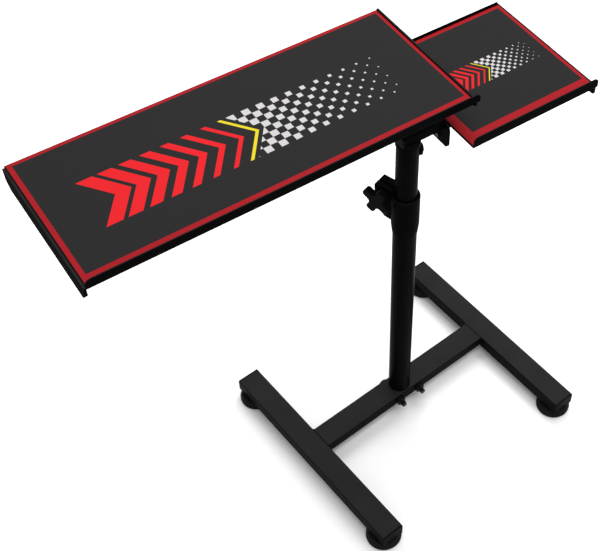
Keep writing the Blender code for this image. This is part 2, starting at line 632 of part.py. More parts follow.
def add_inner_tube(column):
    """Sliding tube with its welded screw boss, the lock screw in it and the plug in its foot."""
    slide = add_empty("column_slide_axis", column, (0, 0, INNER_TUBE_TOP))
    outer = circle(INNER_TUBE_RADIUS, TUBE_SEGMENTS)
    tube = add_part("inner_tube", prism(outer, -INNER_TUBE_LENGTH, 0), "tube_coat", slide)
    radial = Matrix.Rotation(LOCK_AZIMUTH, 4, "Z") @ quarter_turn("X")
    boss = disc(LOCK_BOSS_RADIUS, LOCK_BOSS_RADIUS, LOCK_BOSS_REACH, BOSS_SEGMENTS)
    combine(tube, boss, "UNION", (0, 0, -LOCK_DROP), radial)
    bore = disc(INNER_TUBE_BORE, -INNER_TUBE_LENGTH - GAP, GAP, TUBE_SEGMENTS)
    combine(tube, bore, "DIFFERENCE")
    hole = disc(LOCK_SCREW_RADIUS + SCREW_CLEARANCE, 0, LOCK_BOSS_REACH + GAP, HOLE_SEGMENTS)
    combine(tube, hole, "DIFFERENCE", (0, 0, -LOCK_DROP), radial)

    groove = INNER_TUBE_BORE - RUNNING_CLEARANCE - LOCK_GROOVE_DEPTH
    screw_length = LOCK_BOSS_REACH + GAP - groove - GAP
    inward = radial @ Matrix.Rotation(math.pi, 4, "X")
    head_seat = radial.to_3x3() @ Vector((0, 0, LOCK_BOSS_REACH + GAP))
    add_bolt("swivel_lock_screw", LOCK_SCREW_RADIUS, screw_length, slide,
             head_seat + Vector((0, 0, -LOCK_DROP)), inward)

    plug_bottom = -INNER_TUBE_LENGTH - GAP - PLUG_FLANGE
    plug_profile = [
        (0, plug_bottom), (INNER_TUBE_RADIUS, plug_bottom), (INNER_TUBE_RADIUS, plug_bottom + PLUG_FLANGE),
        (INNER_TUBE_BORE - GAP, plug_bottom + PLUG_FLANGE),
        (INNER_TUBE_BORE - GAP, plug_bottom + PLUG_LENGTH), (0, plug_bottom + PLUG_LENGTH),
    ]
    add_part("tube_end_plug", turned(plug_profile, TUBE_SEGMENTS), "moulded_black", slide)
    return slide


def add_column(stand):
    """Column from the base to the inner tube's top; returns the empty that slides."""
    column = add_empty("column_axis", stand, (COLUMN_OFFSET, 0, 0))
    add_outer_tube(column)
    clamp = add_empty("clamp_frame", column, (0, 0, 0), COLLAR_AZIMUTH)
    add_collar(clamp)
    add_clamp(clamp)
    return add_inner_tube(column)


# ---------------------------------------------------------------------- head
def add_hub(head):
    """Round flange on the inner tube, its grooved spigot inside the tube."""
    spigot = INNER_TUBE_BORE - RUNNING_CLEARANCE
    groove = spigot - LOCK_GROOVE_DEPTH
    groove_top = -LOCK_DROP + LOCK_GROOVE_WIDTH / 2
    groove_bottom = -LOCK_DROP - LOCK_GROOVE_WIDTH / 2
    profile = [
        (0, -HUB_SPIGOT_LENGTH), (spigot, -HUB_SPIGOT_LENGTH), (spigot, groove_bottom),
        (groove, groove_bottom), (groove, groove_top), (spigot, groove_top), (spigot, GAP),
        (HUB_RADIUS, GAP), (HUB_RADIUS, GAP + HUB_THICKNESS), (0, GAP + HUB_THICKNESS),
    ]
    add_part("swivel_hub", turned(profile, TUBE_SEGMENTS), "powder_coat", head)


def add_arm(head):
    """Rectangular arm on the hub with its end cap, and the drop plate at its right end."""
    level = ARM_BOTTOM - INNER_TUBE_TOP
    middle = level + ARM_HEIGHT / 2
    outer = rectangle(ARM_WIDTH, ARM_HEIGHT, ARM_CORNER)
    inner = rectangle(ARM_WIDTH - 2 * ARM_WALL, ARM_HEIGHT - 2 * ARM_WALL, ARM_CORNER - ARM_WALL)
    left = -ARM_LEFT_REACH + CAP_FACE + GAP
    add_part("support_arm", hollow_prism(outer, inner, left, PLATE_REACH - GAP, "X"),
             "powder_coat", head, (0, 0, middle))
    plug = rectangle(ARM_WIDTH - 2 * ARM_WALL - 2 * GAP, ARM_HEIGHT - 2 * ARM_WALL - 2 * GAP,
                     ARM_CORNER - ARM_WALL)
    cap = add_part("arm_end_cap", prism(outer, 0, CAP_FACE, "X"), "moulded_black", head,
                   (-ARM_LEFT_REACH, 0, middle))
    combine(cap, prism(plug, CAP_FACE / 2, CAP_FACE + CAP_PLUG_DEPTH, "X"), "UNION",
            (-ARM_LEFT_REACH, 0, middle))

    top = level + ARM_HEIGHT
    bottom = PLATE_BOTTOM - INNER_TUBE_TOP
    outline = rounded(
        [
            (-PLATE_FRONT, bottom + PLATE_CHAMFER), (-PLATE_FRONT + PLATE_CHAMFER, bottom),
            (PLATE_REAR, bottom), (PLATE_REAR, top), (-PLATE_FRONT, top),
        ],
        [0, 0, PLATE_CHAMFER, PLATE_CHAMFER, PLATE_CORNER],
    )
    plate = add_part("mouse_drop_plate", prism(outline, PLATE_REACH, PLATE_REACH + PLATE_THICKNESS, "X"),
                     "powder_coat", head)
    hole = disc(PIVOT_RADIUS + SCREW_CLEARANCE, PLATE_REACH - GAP, BRACKET_FACE, HOLE_SEGMENTS)
    combine(plate, hole, "DIFFERENCE", (0, 0, MOUSE_PIVOT - INNER_TUBE_TOP), quarter_turn("X"))


def lug_outline(base):
    """Lug with a round end about the pivot at the origin, its foot at height base."""
    sign = 1 if base > 0 else -1
    arc = []
    for step in range(ARC_STEPS + 1):
        angle = math.pi * step / ARC_STEPS
        arc.append((LUG_RADIUS * math.cos(angle), -sign * LUG_RADIUS * math.sin(angle)))
    return arc + [(-LUG_RADIUS, base), (LUG_RADIUS, base)]


def add_arm_lugs(head):
    """Two hinge lugs on the arm for the keyboard tray."""
    pivot = KEYBOARD_PIVOT - INNER_TUBE_TOP
    foot = ARM_TOP + GAP - KEYBOARD_PIVOT
    for side, sign in (("left", -1), ("right", 1)):
        centre = LUG_MIDDLE + sign * LUG_SPAN / 2
        lug = add_part(
            f"{side}_arm_lug", prism(lug_outline(foot), -LUG_THICKNESS / 2, LUG_THICKNESS / 2, "X"),
            "powder_coat", head, (centre, 0, pivot))
        hole = disc(PIVOT_RADIUS + SCREW_CLEARANCE, -LUG_THICKNESS, LUG_THICKNESS, HOLE_SEGMENTS)
        combine(lug, hole, "DIFFERENCE", (centre, 0, pivot), quarter_turn("X"))


def add_head(slide):
    """Swivelling head: hub, arm, drop plate and hinge lugs."""
    head = add_empty("head_swivel_axis", slide, (0, 0, 0), HEAD_YAW)
    add_hub(head)
    add_arm(head)
    add_arm_lugs(head)
    return head


# --------------------------------------------------------------- tray helpers
def keyboard_pan_outline(top):
    """Section of the keyboard pan: the front is folded up, the rear wall down."""
    front = KEYBOARD_FRONT
    rear = KEYBOARD_REAR
    foot = top - SHEET
    stub = foot + SHEET_BEND + LIP_OVERLAP
    wall_foot = top + MAT_THICKNESS + GAP - REAR_WALL_HEIGHT
    inner = SHEET_BEND - SHEET
    corners = [
        (-front, foot), (rear - SHEET, foot), (rear - SHEET, wall_foot), (rear, wall_foot), (rear, top),
        (-front + SHEET, top), (-front + SHEET, stub), (-front, stub),
    ]
    return rounded(corners, [SHEET_BEND, inner, 0, 0, SHEET_BEND, inner, 0, 0], 3)


def mouse_pan_outline(top):
    """Section of the mouse pan: the front and a low rim at the rear are folded up."""
    front = MOUSE_FRONT
    rear = MOUSE_REAR
    foot = top - SHEET
    stub = foot + SHEET_BEND + LIP_OVERLAP
    rim = top + MAT_THICKNESS + GAP + MOUSE_RIM_RISE
    inner = SHEET_BEND - SHEET
    corners = [
        (-front, foot), (rear, foot), (rear, rim), (rear - SHEET, rim), (rear - SHEET, top),
        (-front + SHEET, top), (-front + SHEET, stub), (-front, stub),
    ]
    return rounded(corners, [SHEET_BEND, SHEET_BEND, 0, 0, inner, inner, 0, 0], 3)


def add_front_lip(pan, left, right, front, pan_top, lip_top):
    """Upright lip along the pan's front, with rounded upper corners."""
    foot = pan_top - SHEET + SHEET_BEND
    corners = [(left, foot), (right, foot), (right, lip_top), (left, lip_top)]
    outline = rounded(corners, [0, 0, LIP_ROUND, LIP_ROUND], 6)
    combine(pan, prism(outline, -front, -front + SHEET, "Y"), "UNION")


# ------------------------------------------------------------- keyboard tray
def add_keyboard_tray(head):
    """Pan with its front lip, mat, end plates, rail and hinge lugs, about the tilt pivot."""
    tray = add_empty("keyboard_tilt_axis", head, (0, 0, KEYBOARD_PIVOT - INNER_TUBE_TOP))
    mat_top = KEYBOARD_PIVOT_DROP
    pan_top = mat_top - MAT_THICKNESS - GAP
    left = -KEYBOARD_LEFT
    pan = add_part("keyboard_tray_pan", prism(keyboard_pan_outline(pan_top), left + GAP, KEYBOARD_RIGHT, "X"),
                   "powder_coat", tray)
    add_front_lip(pan, left + GAP, KEYBOARD_LIP_END, KEYBOARD_FRONT, pan_top, mat_top + KEYBOARD_LIP_RISE)
    mat_front = -KEYBOARD_FRONT + SHEET_BEND
    mat = [
        (left + GAP, mat_front), (KEYBOARD_RIGHT, mat_front),
        (KEYBOARD_RIGHT, KEYBOARD_REAR), (left + GAP, KEYBOARD_REAR),
    ]
    add_part("keyboard_mat", prism(mat, mat_top - MAT_THICKNESS, mat_top), "mat_rubber", tray)

    plate_foot = mat_top - LEFT_PLATE_HEIGHT
    plate = rounded(
        [
            (-KEYBOARD_FRONT, mat_top - LEFT_PLATE_NOSE), (-KEYBOARD_FRONT + LEFT_PLATE_SLANT, plate_foot),
            (LEFT_PLATE_REAR - LEFT_PLATE_CUT, plate_foot), (LEFT_PLATE_REAR, plate_foot + LEFT_PLATE_CUT),
            (LEFT_PLATE_REAR, mat_top), (-KEYBOARD_FRONT, mat_top),
        ],
        [PLATE_EDGE_ROUND] * 6, 3,
    )
    add_part("keyboard_left_end_plate", prism(plate, left - KEYBOARD_LEFT_PLATE, left, "X"),
             "powder_coat", tray)
    plate_front = -KEYBOARD_FRONT + SHEET + GAP
    edge = rounded(
        [
            (plate_front, mat_top - RIGHT_PLATE_DEPTH), (KEYBOARD_REAR, mat_top - RIGHT_PLATE_DEPTH),
            (KEYBOARD_REAR, mat_top + KEYBOARD_EDGE_RISE), (plate_front, mat_top + KEYBOARD_EDGE_RISE),
        ],
        [PLATE_EDGE_ROUND] * 4, 3,
    )
    plate_start = KEYBOARD_RIGHT + GAP
    add_part("keyboard_right_end_plate", prism(edge, plate_start, plate_start + KEYBOARD_RIGHT_PLATE, "X"),
             "powder_coat", tray)

    rail_top = mat_top - SHEET_DROP - GAP
    rail_foot = rail_top - RAIL_HEIGHT
    half = RAIL_WIDTH / 2
    rail = [
        (-half, rail_foot), (half, rail_foot), (half, rail_top), (half - SHEET, rail_top),
        (half - SHEET, rail_foot + SHEET), (-half + SHEET, rail_foot + SHEET),
        (-half + SHEET, rail_top), (-half, rail_top),
    ]
    add_part("tray_rail", prism(rail, -RAIL_LEFT, RAIL_RIGHT, "X"), "powder_coat", tray)
    add_tray_lugs(tray, rail_foot - GAP)


def add_tray_lugs(tray, foot):
    """Two lugs under the rail, outside the arm's lugs, each with its pivot bolt and nut."""
    for side, sign in (("left", -1), ("right", 1)):
        arm_lug = LUG_MIDDLE + sign * LUG_SPAN / 2
        near = arm_lug + sign * (LUG_THICKNESS / 2 + BOSS_CLEARANCE)
        far = near + sign * LUG_THICKNESS
        lug = add_part(f"{side}_tray_lug", prism(lug_outline(foot), min(near, far), max(near, far), "X"),
                       "powder_coat", tray)
        hole = disc(PIVOT_RADIUS + SCREW_CLEARANCE, min(near, far) - GAP, max(near, far) + GAP,
                    HOLE_SEGMENTS)
        combine(lug, hole, "DIFFERENCE", turn=quarter_turn("X"))
        head_seat = far + sign * GAP
        nut_seat = arm_lug - sign * (LUG_THICKNESS / 2 + BOSS_CLEARANCE)
        length = abs(head_seat - nut_seat) + PIVOT_RADIUS * (HEX_NUT + BOLT_TIP)
        add_bolt(f"{side}_pivot_bolt", PIVOT_RADIUS, length, tray, (head_seat, 0, 0),
                 quarter_turn("X", -sign))
        add_nut(f"{side}_pivot_nut", PIVOT_RADIUS, tray, (nut_seat, 0, 0), quarter_turn("X", -sign))


# ---------------------------------------------------------------- mouse tray
def add_mouse_bracket(tilt):
    """Angle bracket on the drop plate, slotted for the slide screws, with its pivot bolt."""
    flange_top = MOUSE_PIVOT_DROP - SHEET_DROP - GAP
    flange_bottom = flange_top - BRACKET_THICKNESS
    nose = BRACKET_NOSE_RADIUS
    upright = [(-BRACKET_HALF_WIDTH, flange_top), (-BRACKET_HALF_WIDTH, flange_bottom - nose / 2)]
    for step in range(ARC_STEPS + 1):
        angle = math.pi + math.pi * step / ARC_STEPS
        upright.append((nose * math.cos(angle), nose * math.sin(angle)))
    upright += [(BRACKET_HALF_WIDTH, flange_bottom - nose / 2), (BRACKET_HALF_WIDTH, flange_top)]
    bracket = add_part("mouse_bracket", prism(upright, BRACKET_FACE, BRACKET_FACE + BRACKET_THICKNESS, "X"),
                       "powder_coat", tilt)
    flange = rectangle(BRACKET_REACH - BRACKET_FACE, 2 * BRACKET_HALF_WIDTH, 0,
                       centre=((BRACKET_REACH + BRACKET_FACE) / 2, 0))
    combine(bracket, prism(flange, flange_bottom, flange_top), "UNION")
    hole = disc(PIVOT_RADIUS + SCREW_CLEARANCE, PLATE_REACH, BRACKET_FACE + 2 * BRACKET_THICKNESS,
                HOLE_SEGMENTS)
    combine(bracket, hole, "DIFFERENCE", turn=quarter_turn("X"))
    slot_radius = SLIDE_SCREW_RADIUS + SCREW_CLEARANCE
    for start in (SLOT_LEFT_START, SLOT_RIGHT_START):
        length = SLIDE_TRAVEL + 2 * slot_radius
        slot = rectangle(length, 2 * slot_radius, slot_radius * SLOT_ROUND, 5, (start + length / 2, 0))
        combine(bracket, prism(slot, flange_bottom - GAP, flange_top + GAP), "DIFFERENCE")

    bolt_seat = PLATE_REACH - GAP
    nut_seat = BRACKET_FACE + BRACKET_THICKNESS + GAP
    length = nut_seat - bolt_seat + PIVOT_RADIUS * HEX_NUT
    add_bolt("mouse_pivot_bolt", PIVOT_RADIUS, length, tilt, (bolt_seat, 0, 0), quarter_turn("X"))
    add_nut("mouse_pivot_nut", PIVOT_RADIUS, tilt, (nut_seat, 0, 0), quarter_turn("X"))
    return flange_bottom


def add_mouse_tray(tilt, flange_bottom):
    """Pan, mat, right end plate and the two screws that slide in the bracket's slots."""
    tray = add_empty("mouse_slide_axis", tilt, (0, 0, 0))
    mat_top = MOUSE_PIVOT_DROP
    pan_top = mat_top - MAT_THICKNESS - GAP
    pan = add_part("mouse_tray_pan", prism(mouse_pan_outline(pan_top), MOUSE_LEFT, MOUSE_RIGHT, "X"),
                   "powder_coat", tray)
    add_front_lip(pan, MOUSE_LEFT, MOUSE_LIP_END, MOUSE_FRONT, pan_top, mat_top + MOUSE_LIP_RISE)
    mat_front = -MOUSE_FRONT + SHEET_BEND
    mat_rear = MOUSE_REAR - SHEET_BEND
    mat = [(MOUSE_LEFT, mat_front), (MOUSE_RIGHT, mat_front), (MOUSE_RIGHT, mat_rear), (MOUSE_LEFT, mat_rear)]
    add_part("mouse_mat", prism(mat, mat_top - MAT_THICKNESS, mat_top), "mat_rubber", tray)
    plate_front = -MOUSE_FRONT + SHEET + GAP
    corners = [
        (plate_front, mat_top - MOUSE_PLATE_DEPTH), (MOUSE_REAR, mat_top - MOUSE_PLATE_DEPTH),
        (MOUSE_REAR, mat_top), (plate_front, mat_top),
    ]
    plate = rounded(corners, [MOUSE_PLATE_ROUND, MOUSE_PLATE_ROUND, 0, 0])
    plate_start = MOUSE_RIGHT + GAP
    add_part("mouse_right_end_plate", prism(plate, plate_start, plate_start + MOUSE_RIGHT_PLATE, "X"),
             "powder_coat", tray)

    slot_radius = SLIDE_SCREW_RADIUS + SCREW_CLEARANCE
    for side, start in (("left", SLOT_LEFT_START), ("right", SLOT_RIGHT_START)):
        seat = flange_bottom - GAP
        screw_top = mat_top - SHEET_DROP + SLIDE_SCREW_BITE
        place = (start + slot_radius, 0, seat)
        socket = disc(slot_radius, mat_top - SHEET_DROP - GAP, screw_top + GAP, HOLE_SEGMENTS)
        combine(pan, socket, "DIFFERENCE", (place[0], 0, 0))
        add_bolt(f"{side}_slide_screw", SLIDE_SCREW_RADIUS, screw_top - seat, tray, place, None)


def add_mouse_side(head):
    """Tilting bracket and the tray that slides on it."""
    tilt = add_empty("mouse_tilt_axis", head, (0, 0, MOUSE_PIVOT - INNER_TUBE_TOP))
    flange_bottom = add_mouse_bracket(tilt)
    add_mouse_tray(tilt, flange_bottom)


# --------------------------------------------------------------------- whole
def shade(parts):
    """Smooth shading on round stretches, sharp edges elsewhere."""
    for part in parts:
        part.data.shade_smooth()
        part.data.set_sharp_from_angle(angle=math.radians(30))


def centre_on_floor(stand, parts):
    """Moves the stand so that the middle of its box stands over the origin."""
    bpy.context.view_layer.update()
    corners = [part.matrix_world @ vertex.co for part in parts for vertex in part.data.vertices]
    for axis in (0, 1):
        values = [corner[axis] for corner in corners]
        stand.location[axis] = -(min(values) + max(values)) / 2
    stand.location[2] = -min(corner[2] for corner in corners)
    bpy.context.view_layer.update()


def build():
    """The whole stand."""
    stand = add_empty("stand_origin", None, (0, 0, 0))
    add_base(stand)
    slide = add_column(stand)
    head = add_head(slide)
    add_keyboard_tray(head)
    add_mouse_side(head)
    parts = [item for item in bpy.context.scene.objects if item.type == "MESH"]
    shade(parts)
    centre_on_floor(stand, parts)


for existing in list(bpy.data.objects):
    bpy.data.objects.remove(existing)
MATERIALS = {name: make_material(name, *values) for name, values in FINISHES.items()}
build()
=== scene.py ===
"""Finish of a free-standing keyboard and mouse tray stand.

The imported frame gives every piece's place and size. This file breaks the steel's sharp edges,
models the fasteners, feet, caps, mats and welds, and gives each surface its coating.
Lengths are in metres, +X runs along the cross bar, +Y to the back and +Z up.
"""

import json
import math

import bmesh
import bpy
from mathutils import Matrix, Vector

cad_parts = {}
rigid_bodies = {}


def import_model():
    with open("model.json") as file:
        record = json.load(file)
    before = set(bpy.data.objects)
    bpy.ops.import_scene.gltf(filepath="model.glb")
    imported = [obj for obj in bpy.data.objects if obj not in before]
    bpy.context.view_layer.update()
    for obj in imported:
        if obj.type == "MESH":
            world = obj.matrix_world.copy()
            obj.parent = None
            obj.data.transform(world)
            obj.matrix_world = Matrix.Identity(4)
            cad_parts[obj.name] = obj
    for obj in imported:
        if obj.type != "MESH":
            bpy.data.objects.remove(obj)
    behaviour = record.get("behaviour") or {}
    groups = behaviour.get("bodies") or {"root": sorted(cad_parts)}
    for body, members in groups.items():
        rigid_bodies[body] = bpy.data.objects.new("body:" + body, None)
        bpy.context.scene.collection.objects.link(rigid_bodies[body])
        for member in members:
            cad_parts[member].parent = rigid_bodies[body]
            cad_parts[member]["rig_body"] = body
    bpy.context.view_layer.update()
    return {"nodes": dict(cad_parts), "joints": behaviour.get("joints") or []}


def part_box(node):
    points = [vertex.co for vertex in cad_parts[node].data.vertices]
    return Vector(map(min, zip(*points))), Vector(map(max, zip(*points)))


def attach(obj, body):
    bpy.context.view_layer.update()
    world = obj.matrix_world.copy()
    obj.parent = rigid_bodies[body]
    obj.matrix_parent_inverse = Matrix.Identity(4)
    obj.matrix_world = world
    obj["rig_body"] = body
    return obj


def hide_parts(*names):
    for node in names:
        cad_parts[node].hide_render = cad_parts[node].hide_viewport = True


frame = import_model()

bl_info = {
    "name": "Tray Stand Finish",
    "version": (1, 0, 0),
    "blender": (4, 5, 0),
    "location": "3D View > Sidebar > Tray Stand",
    "description": "Coatings, mats, fasteners and studio for a keyboard and mouse tray stand",
    "category": "Object",
}

JOINTS = {joint["name"]: joint for joint in frame["joints"]}

# The column's axis, its foot on the floor, and how the trays stand about it
COLUMN = Vector(JOINTS["head_swivel"]["pos_m"])
FOOT = Vector((COLUMN.x, COLUMN.y, 0.0))
TRAY_RIGHT = Vector(JOINTS["keyboard_tilt"]["axis"]).normalized()
TRAY_TURN = math.atan2(TRAY_RIGHT.y, TRAY_RIGHT.x)

# Points closer than this are one point
MERGE = 0.00001

# Gloss of the finishes, as the shader's specular level
BASE_GLOSS = 0.012
SHEET_GLOSS = 0.004
PLATE_GLOSS = 0.0002
TUBE_GLOSS = 0.007
PLASTIC_GLOSS = 0.010
RUBBER_GLOSS = 0.05
CLOTH_GLOSS = 0.06
FLOOR_GLOSS = 0.1

# Radius of each size of screw
M5 = 0.0025
M6 = 0.003
M8 = 0.004
M10 = 0.005
M12 = 0.006

# Proportions of a screw and its nut, in the screw's radii
HEAD_HEIGHT = 1.375
WASHER_HEIGHT = 0.40
WASHER_RADIUS = 2.1
BORE_RADIUS = 1.1
HEX_ROUNDING = 0.05
THREAD_PITCH = 0.31

# Materials by their short names, filled by main
MATERIALS = {}


# ---------------- settings
class TrayStandCoatings(bpy.types.PropertyGroup):
    """Colours and grain of the steel, the plastic and the rubber."""

    powder_colour: bpy.props.FloatVectorProperty(
        name="Powder coat", description="Colour of the coated steel", subtype="COLOR",
        default=(0.0036, 0.0036, 0.0037), min=0.0, max=1.0)
    # Painted light: the colour that the coat's upward faces are lightened towards, as if lit from
    # above.
    lit_top_colour: bpy.props.FloatVectorProperty(
        name="Painted top light", description="Colour of the coated steel's upper faces, lightened with painted light", subtype="COLOR",
        default=(0.0190, 0.0183, 0.0186), min=0.0, max=1.0)
    powder_roughness: bpy.props.FloatProperty(
        name="Powder roughness", description="Roughness of the coated steel", default=0.44,
        min=0.0, max=1.0)
    powder_grain: bpy.props.FloatProperty(
        name="Powder grain", description="Size of the coating's fine pimples", default=0.0007,
        min=0.0001, max=0.01, unit="LENGTH")
    tube_colour: bpy.props.FloatVectorProperty(
        name="Tube paint", description="Colour of the column's paint", subtype="COLOR",
        default=(0.0022, 0.0022, 0.0023), min=0.0, max=1.0)
    tube_roughness: bpy.props.FloatProperty(
        name="Tube roughness", description="Roughness of the column's paint", default=0.36,
        min=0.0, max=1.0)
    plastic_colour: bpy.props.FloatVectorProperty(
        name="Moulded plastic", description="Colour of the knob and the caps", subtype="COLOR",
        default=(0.0044, 0.0044, 0.0045), min=0.0, max=1.0)
    oxide_colour: bpy.props.FloatVectorProperty(
        name="Black oxide", description="Colour of the bolts and nuts", subtype="COLOR",
        default=(0.0075, 0.0075, 0.0078), min=0.0, max=1.0)
    zinc_colour: bpy.props.FloatVectorProperty(
        name="Zinc plate", description="Colour of the studs and inserts", subtype="COLOR",
        default=(0.56, 0.56, 0.55), min=0.0, max=1.0)
    rubber_colour: bpy.props.FloatVectorProperty(
        name="Foot rubber", description="Colour of the feet", subtype="COLOR",
        default=(0.0060, 0.0060, 0.0061), min=0.0, max=1.0)


class TrayStandMats(bpy.types.PropertyGroup):
    """Sizes and colours of the two printed cloth mats."""

    cloth_colour: bpy.props.FloatVectorProperty(
        name="Cloth", description="Colour of the mats' cloth", subtype="COLOR",
        default=(0.0120, 0.0112, 0.0115), min=0.0, max=1.0)
    border_colour: bpy.props.FloatVectorProperty(
        name="Border", description="Colour of the mats' stitched border", subtype="COLOR",
        default=(0.235, 0.0048, 0.0085), min=0.0, max=1.0)
    print_colour: bpy.props.FloatVectorProperty(
        name="Red print", description="Colour of the chevrons", subtype="COLOR",
        default=(0.47, 0.0085, 0.0120), min=0.0, max=1.0)
    light_colour: bpy.props.FloatVectorProperty(
        name="Light print", description="Colour of the chequered squares", subtype="COLOR",
        default=(0.36, 0.35, 0.35), min=0.0, max=1.0)
    accent_colour: bpy.props.FloatVectorProperty(
        name="Accent", description="Colour of the narrow accent chevron", subtype="COLOR",
        default=(0.44, 0.37, 0.013), min=0.0, max=1.0)
    weave_pitch: bpy.props.FloatProperty(
        name="Weave pitch", description="Distance between the cloth's threads", default=0.0006,
        min=0.0001, max=0.01, unit="LENGTH")
    corner_radius: bpy.props.FloatProperty(
        name="Corner radius", description="Radius of the mats' corners", default=0.0015,
        min=0.0, max=0.02, unit="LENGTH")
    edge_radius: bpy.props.FloatProperty(
        name="Edge radius", description="Radius of the mats' upper edge", default=0.0007,
        min=0.0, max=0.002, unit="LENGTH")
    keyboard_print_length: bpy.props.FloatProperty(
        name="Keyboard print length", description="Length of the keyboard mat's print",
        default=0.508, min=0.05, max=0.65, unit="LENGTH")
    keyboard_print_height: bpy.props.FloatProperty(
        name="Keyboard print height", description="Height of the keyboard mat's print",
        default=0.108, min=0.02, max=0.20, unit="LENGTH")
    mouse_print_length: bpy.props.FloatProperty(
        name="Mouse print length", description="Length of the mouse mat's print", default=0.192,
        min=0.02, max=0.25, unit="LENGTH")
    mouse_print_height: bpy.props.FloatProperty(
        name="Mouse print height", description="Height of the mouse mat's print", default=0.056,
        min=0.01, max=0.20, unit="LENGTH")


class TrayStandEdges(bpy.types.PropertyGroup):
    """How far the edges are broken, and the size of the welds."""

    sheet: bpy.props.FloatProperty(
        name="Sheet edges", description="Rounding of the sheet steel's edges", default=0.0005,
        min=0.0001, max=0.001, unit="LENGTH")
    plate: bpy.props.FloatProperty(
        name="Plate edges", description="Rounding of the thick plates' edges", default=0.0008,
        min=0.0001, max=0.0015, unit="LENGTH")
    tube: bpy.props.FloatProperty(
        name="Tube edges", description="Rounding of the tubes' cut ends", default=0.0004,
        min=0.0001, max=0.0007, unit="LENGTH")
    moulded: bpy.props.FloatProperty(
        name="Moulded edges", description="Rounding of the plastic pieces' edges", default=0.0009,
        min=0.0001, max=0.002, unit="LENGTH")
    pad: bpy.props.FloatProperty(
        name="Pad edges", description="Rounding of the foot pads' edges", default=0.0012,
        min=0.0001, max=0.002, unit="LENGTH")
    weld: bpy.props.FloatProperty(
        name="Weld", description="Radius of the weld beads", default=0.0016,
        min=0.0005, max=0.003, unit="LENGTH")
    weld_corner: bpy.props.FloatProperty(
        name="Weld corner", description="How far the weld beads cut their corners", default=0.003,
        min=0.001, max=0.006, unit="LENGTH")


class TrayStandStage(bpy.types.PropertyGroup):
    """Camera, floor and lights."""

    camera_offset: bpy.props.FloatVectorProperty(
        name="Camera offset", description="Camera's place from the column's foot",
        default=(-0.93590, -1.02972, 2.11924), subtype="TRANSLATION")
    camera_right: bpy.props.FloatVectorProperty(
        name="Camera right", description="Direction to the picture's right side",
        default=(0.75764578, -0.65220258, 0.02459004), subtype="DIRECTION")
    camera_up: bpy.props.FloatVectorProperty(
        name="Camera up", description="Direction to the picture's upper side",
        default=(0.49221538, 0.59572302, 0.63469529), subtype="DIRECTION")
    lens: bpy.props.FloatProperty(
        name="Lens", description="Focal length in millimetres on a 36 mm sensor", default=68.1139,
        min=10.0, max=300.0)
    shift_x: bpy.props.FloatProperty(
        name="Shift across", description="Sideways shift of the lens", default=-0.175412,
        min=-1.0, max=1.0)
    shift_y: bpy.props.FloatProperty(
        name="Shift up", description="Vertical shift of the lens", default=-0.003842,
        min=-1.0, max=1.0)
    floor_size: bpy.props.FloatProperty(
        name="Floor", description="Side of the floor", default=16.0, min=2.0, max=50.0,
        unit="LENGTH")
    floor_colour: bpy.props.FloatVectorProperty(
        name="Floor colour", description="Colour of the floor", subtype="COLOR",
        default=(0.88, 0.88, 0.88), min=0.0, max=1.0)
    aim_height: bpy.props.FloatProperty(
        name="Aim", description="Height of the point on the column's axis that the lights face",
        default=0.45, min=0.0, max=2.0, unit="LENGTH")
    light_size: bpy.props.FloatProperty(
        name="Light size", description="Side of the two square lights", default=3.0,
        min=0.1, max=10.0, unit="LENGTH")
    overhead_place: bpy.props.FloatVectorProperty(
        name="Overhead place", description="Place of the light overhead, from the point it faces",
        default=(0.50, -0.30, 2.95), subtype="TRANSLATION")
    back_place: bpy.props.FloatVectorProperty(
        name="Back place", description="Place of the light at the back, from the point it faces",
        default=(1.50, 1.84, 3.20), subtype="TRANSLATION")
    overhead_power: bpy.props.FloatProperty(
        name="Overhead light", description="Power of the large light overhead, in watts",
        default=85.0, min=0.0, max=5000.0)
    back_power: bpy.props.FloatProperty(
        name="Back light", description="Power of the light at the back, in watts",
        default=125.0, min=0.0, max=5000.0)
    sky_strength: bpy.props.FloatProperty(
        name="Sky", description="Strength of the even light all round", default=0.66,
        min=0.0, max=5.0)


SETTINGS = (
    ("tray_stand_coatings", TrayStandCoatings),
    ("tray_stand_mats", TrayStandMats),
    ("tray_stand_edges", TrayStandEdges),
    ("tray_stand_stage", TrayStandStage),
)


# ---------------- shader maths
class Value:
    """A number in a material, written like any other number."""

    def __init__(self, finish, socket):
        self.finish = finish
        self.socket = socket

    def maths(self, operation, *others):
        """The result of a Math node on this number and others."""
        inputs = dict(enumerate((self, *others)))
        node = self.finish.node("ShaderNodeMath", {"operation": operation}, inputs)
        return Value(self.finish, node.outputs[0])

    def __add__(self, other):
        return self.maths("ADD", other)

    __radd__ = __add__

    def __mul__(self, other):
        return self.maths("MULTIPLY", other)

    __rmul__ = __mul__

    def __sub__(self, other):
        return self.maths("SUBTRACT", other)

    def __rsub__(self, other):
        return (self * -1.0) + other

    def __truediv__(self, other):
        return self.maths("DIVIDE", other)

    def __abs__(self):
        return self.maths("ABSOLUTE")

    def __gt__(self, other):
        return self.maths("GREATER_THAN", other)

    def __lt__(self, other):
        return self.maths("LESS_THAN", other)

    def __mod__(self, other):
        return self.maths("FLOORED_MODULO", other)

    def floor(self):
        """The whole number at or below this one."""
        return self.maths("FLOOR")

    def sine(self):
        """The number's sine."""
        return self.maths("SINE")

    def larger(self, other):
        """The larger of two numbers."""
        return self.maths("MAXIMUM", other)

    def between(self, low, high):
        """1 where the number lies between two limits, else 0."""
        return (self > low) * (self < high)


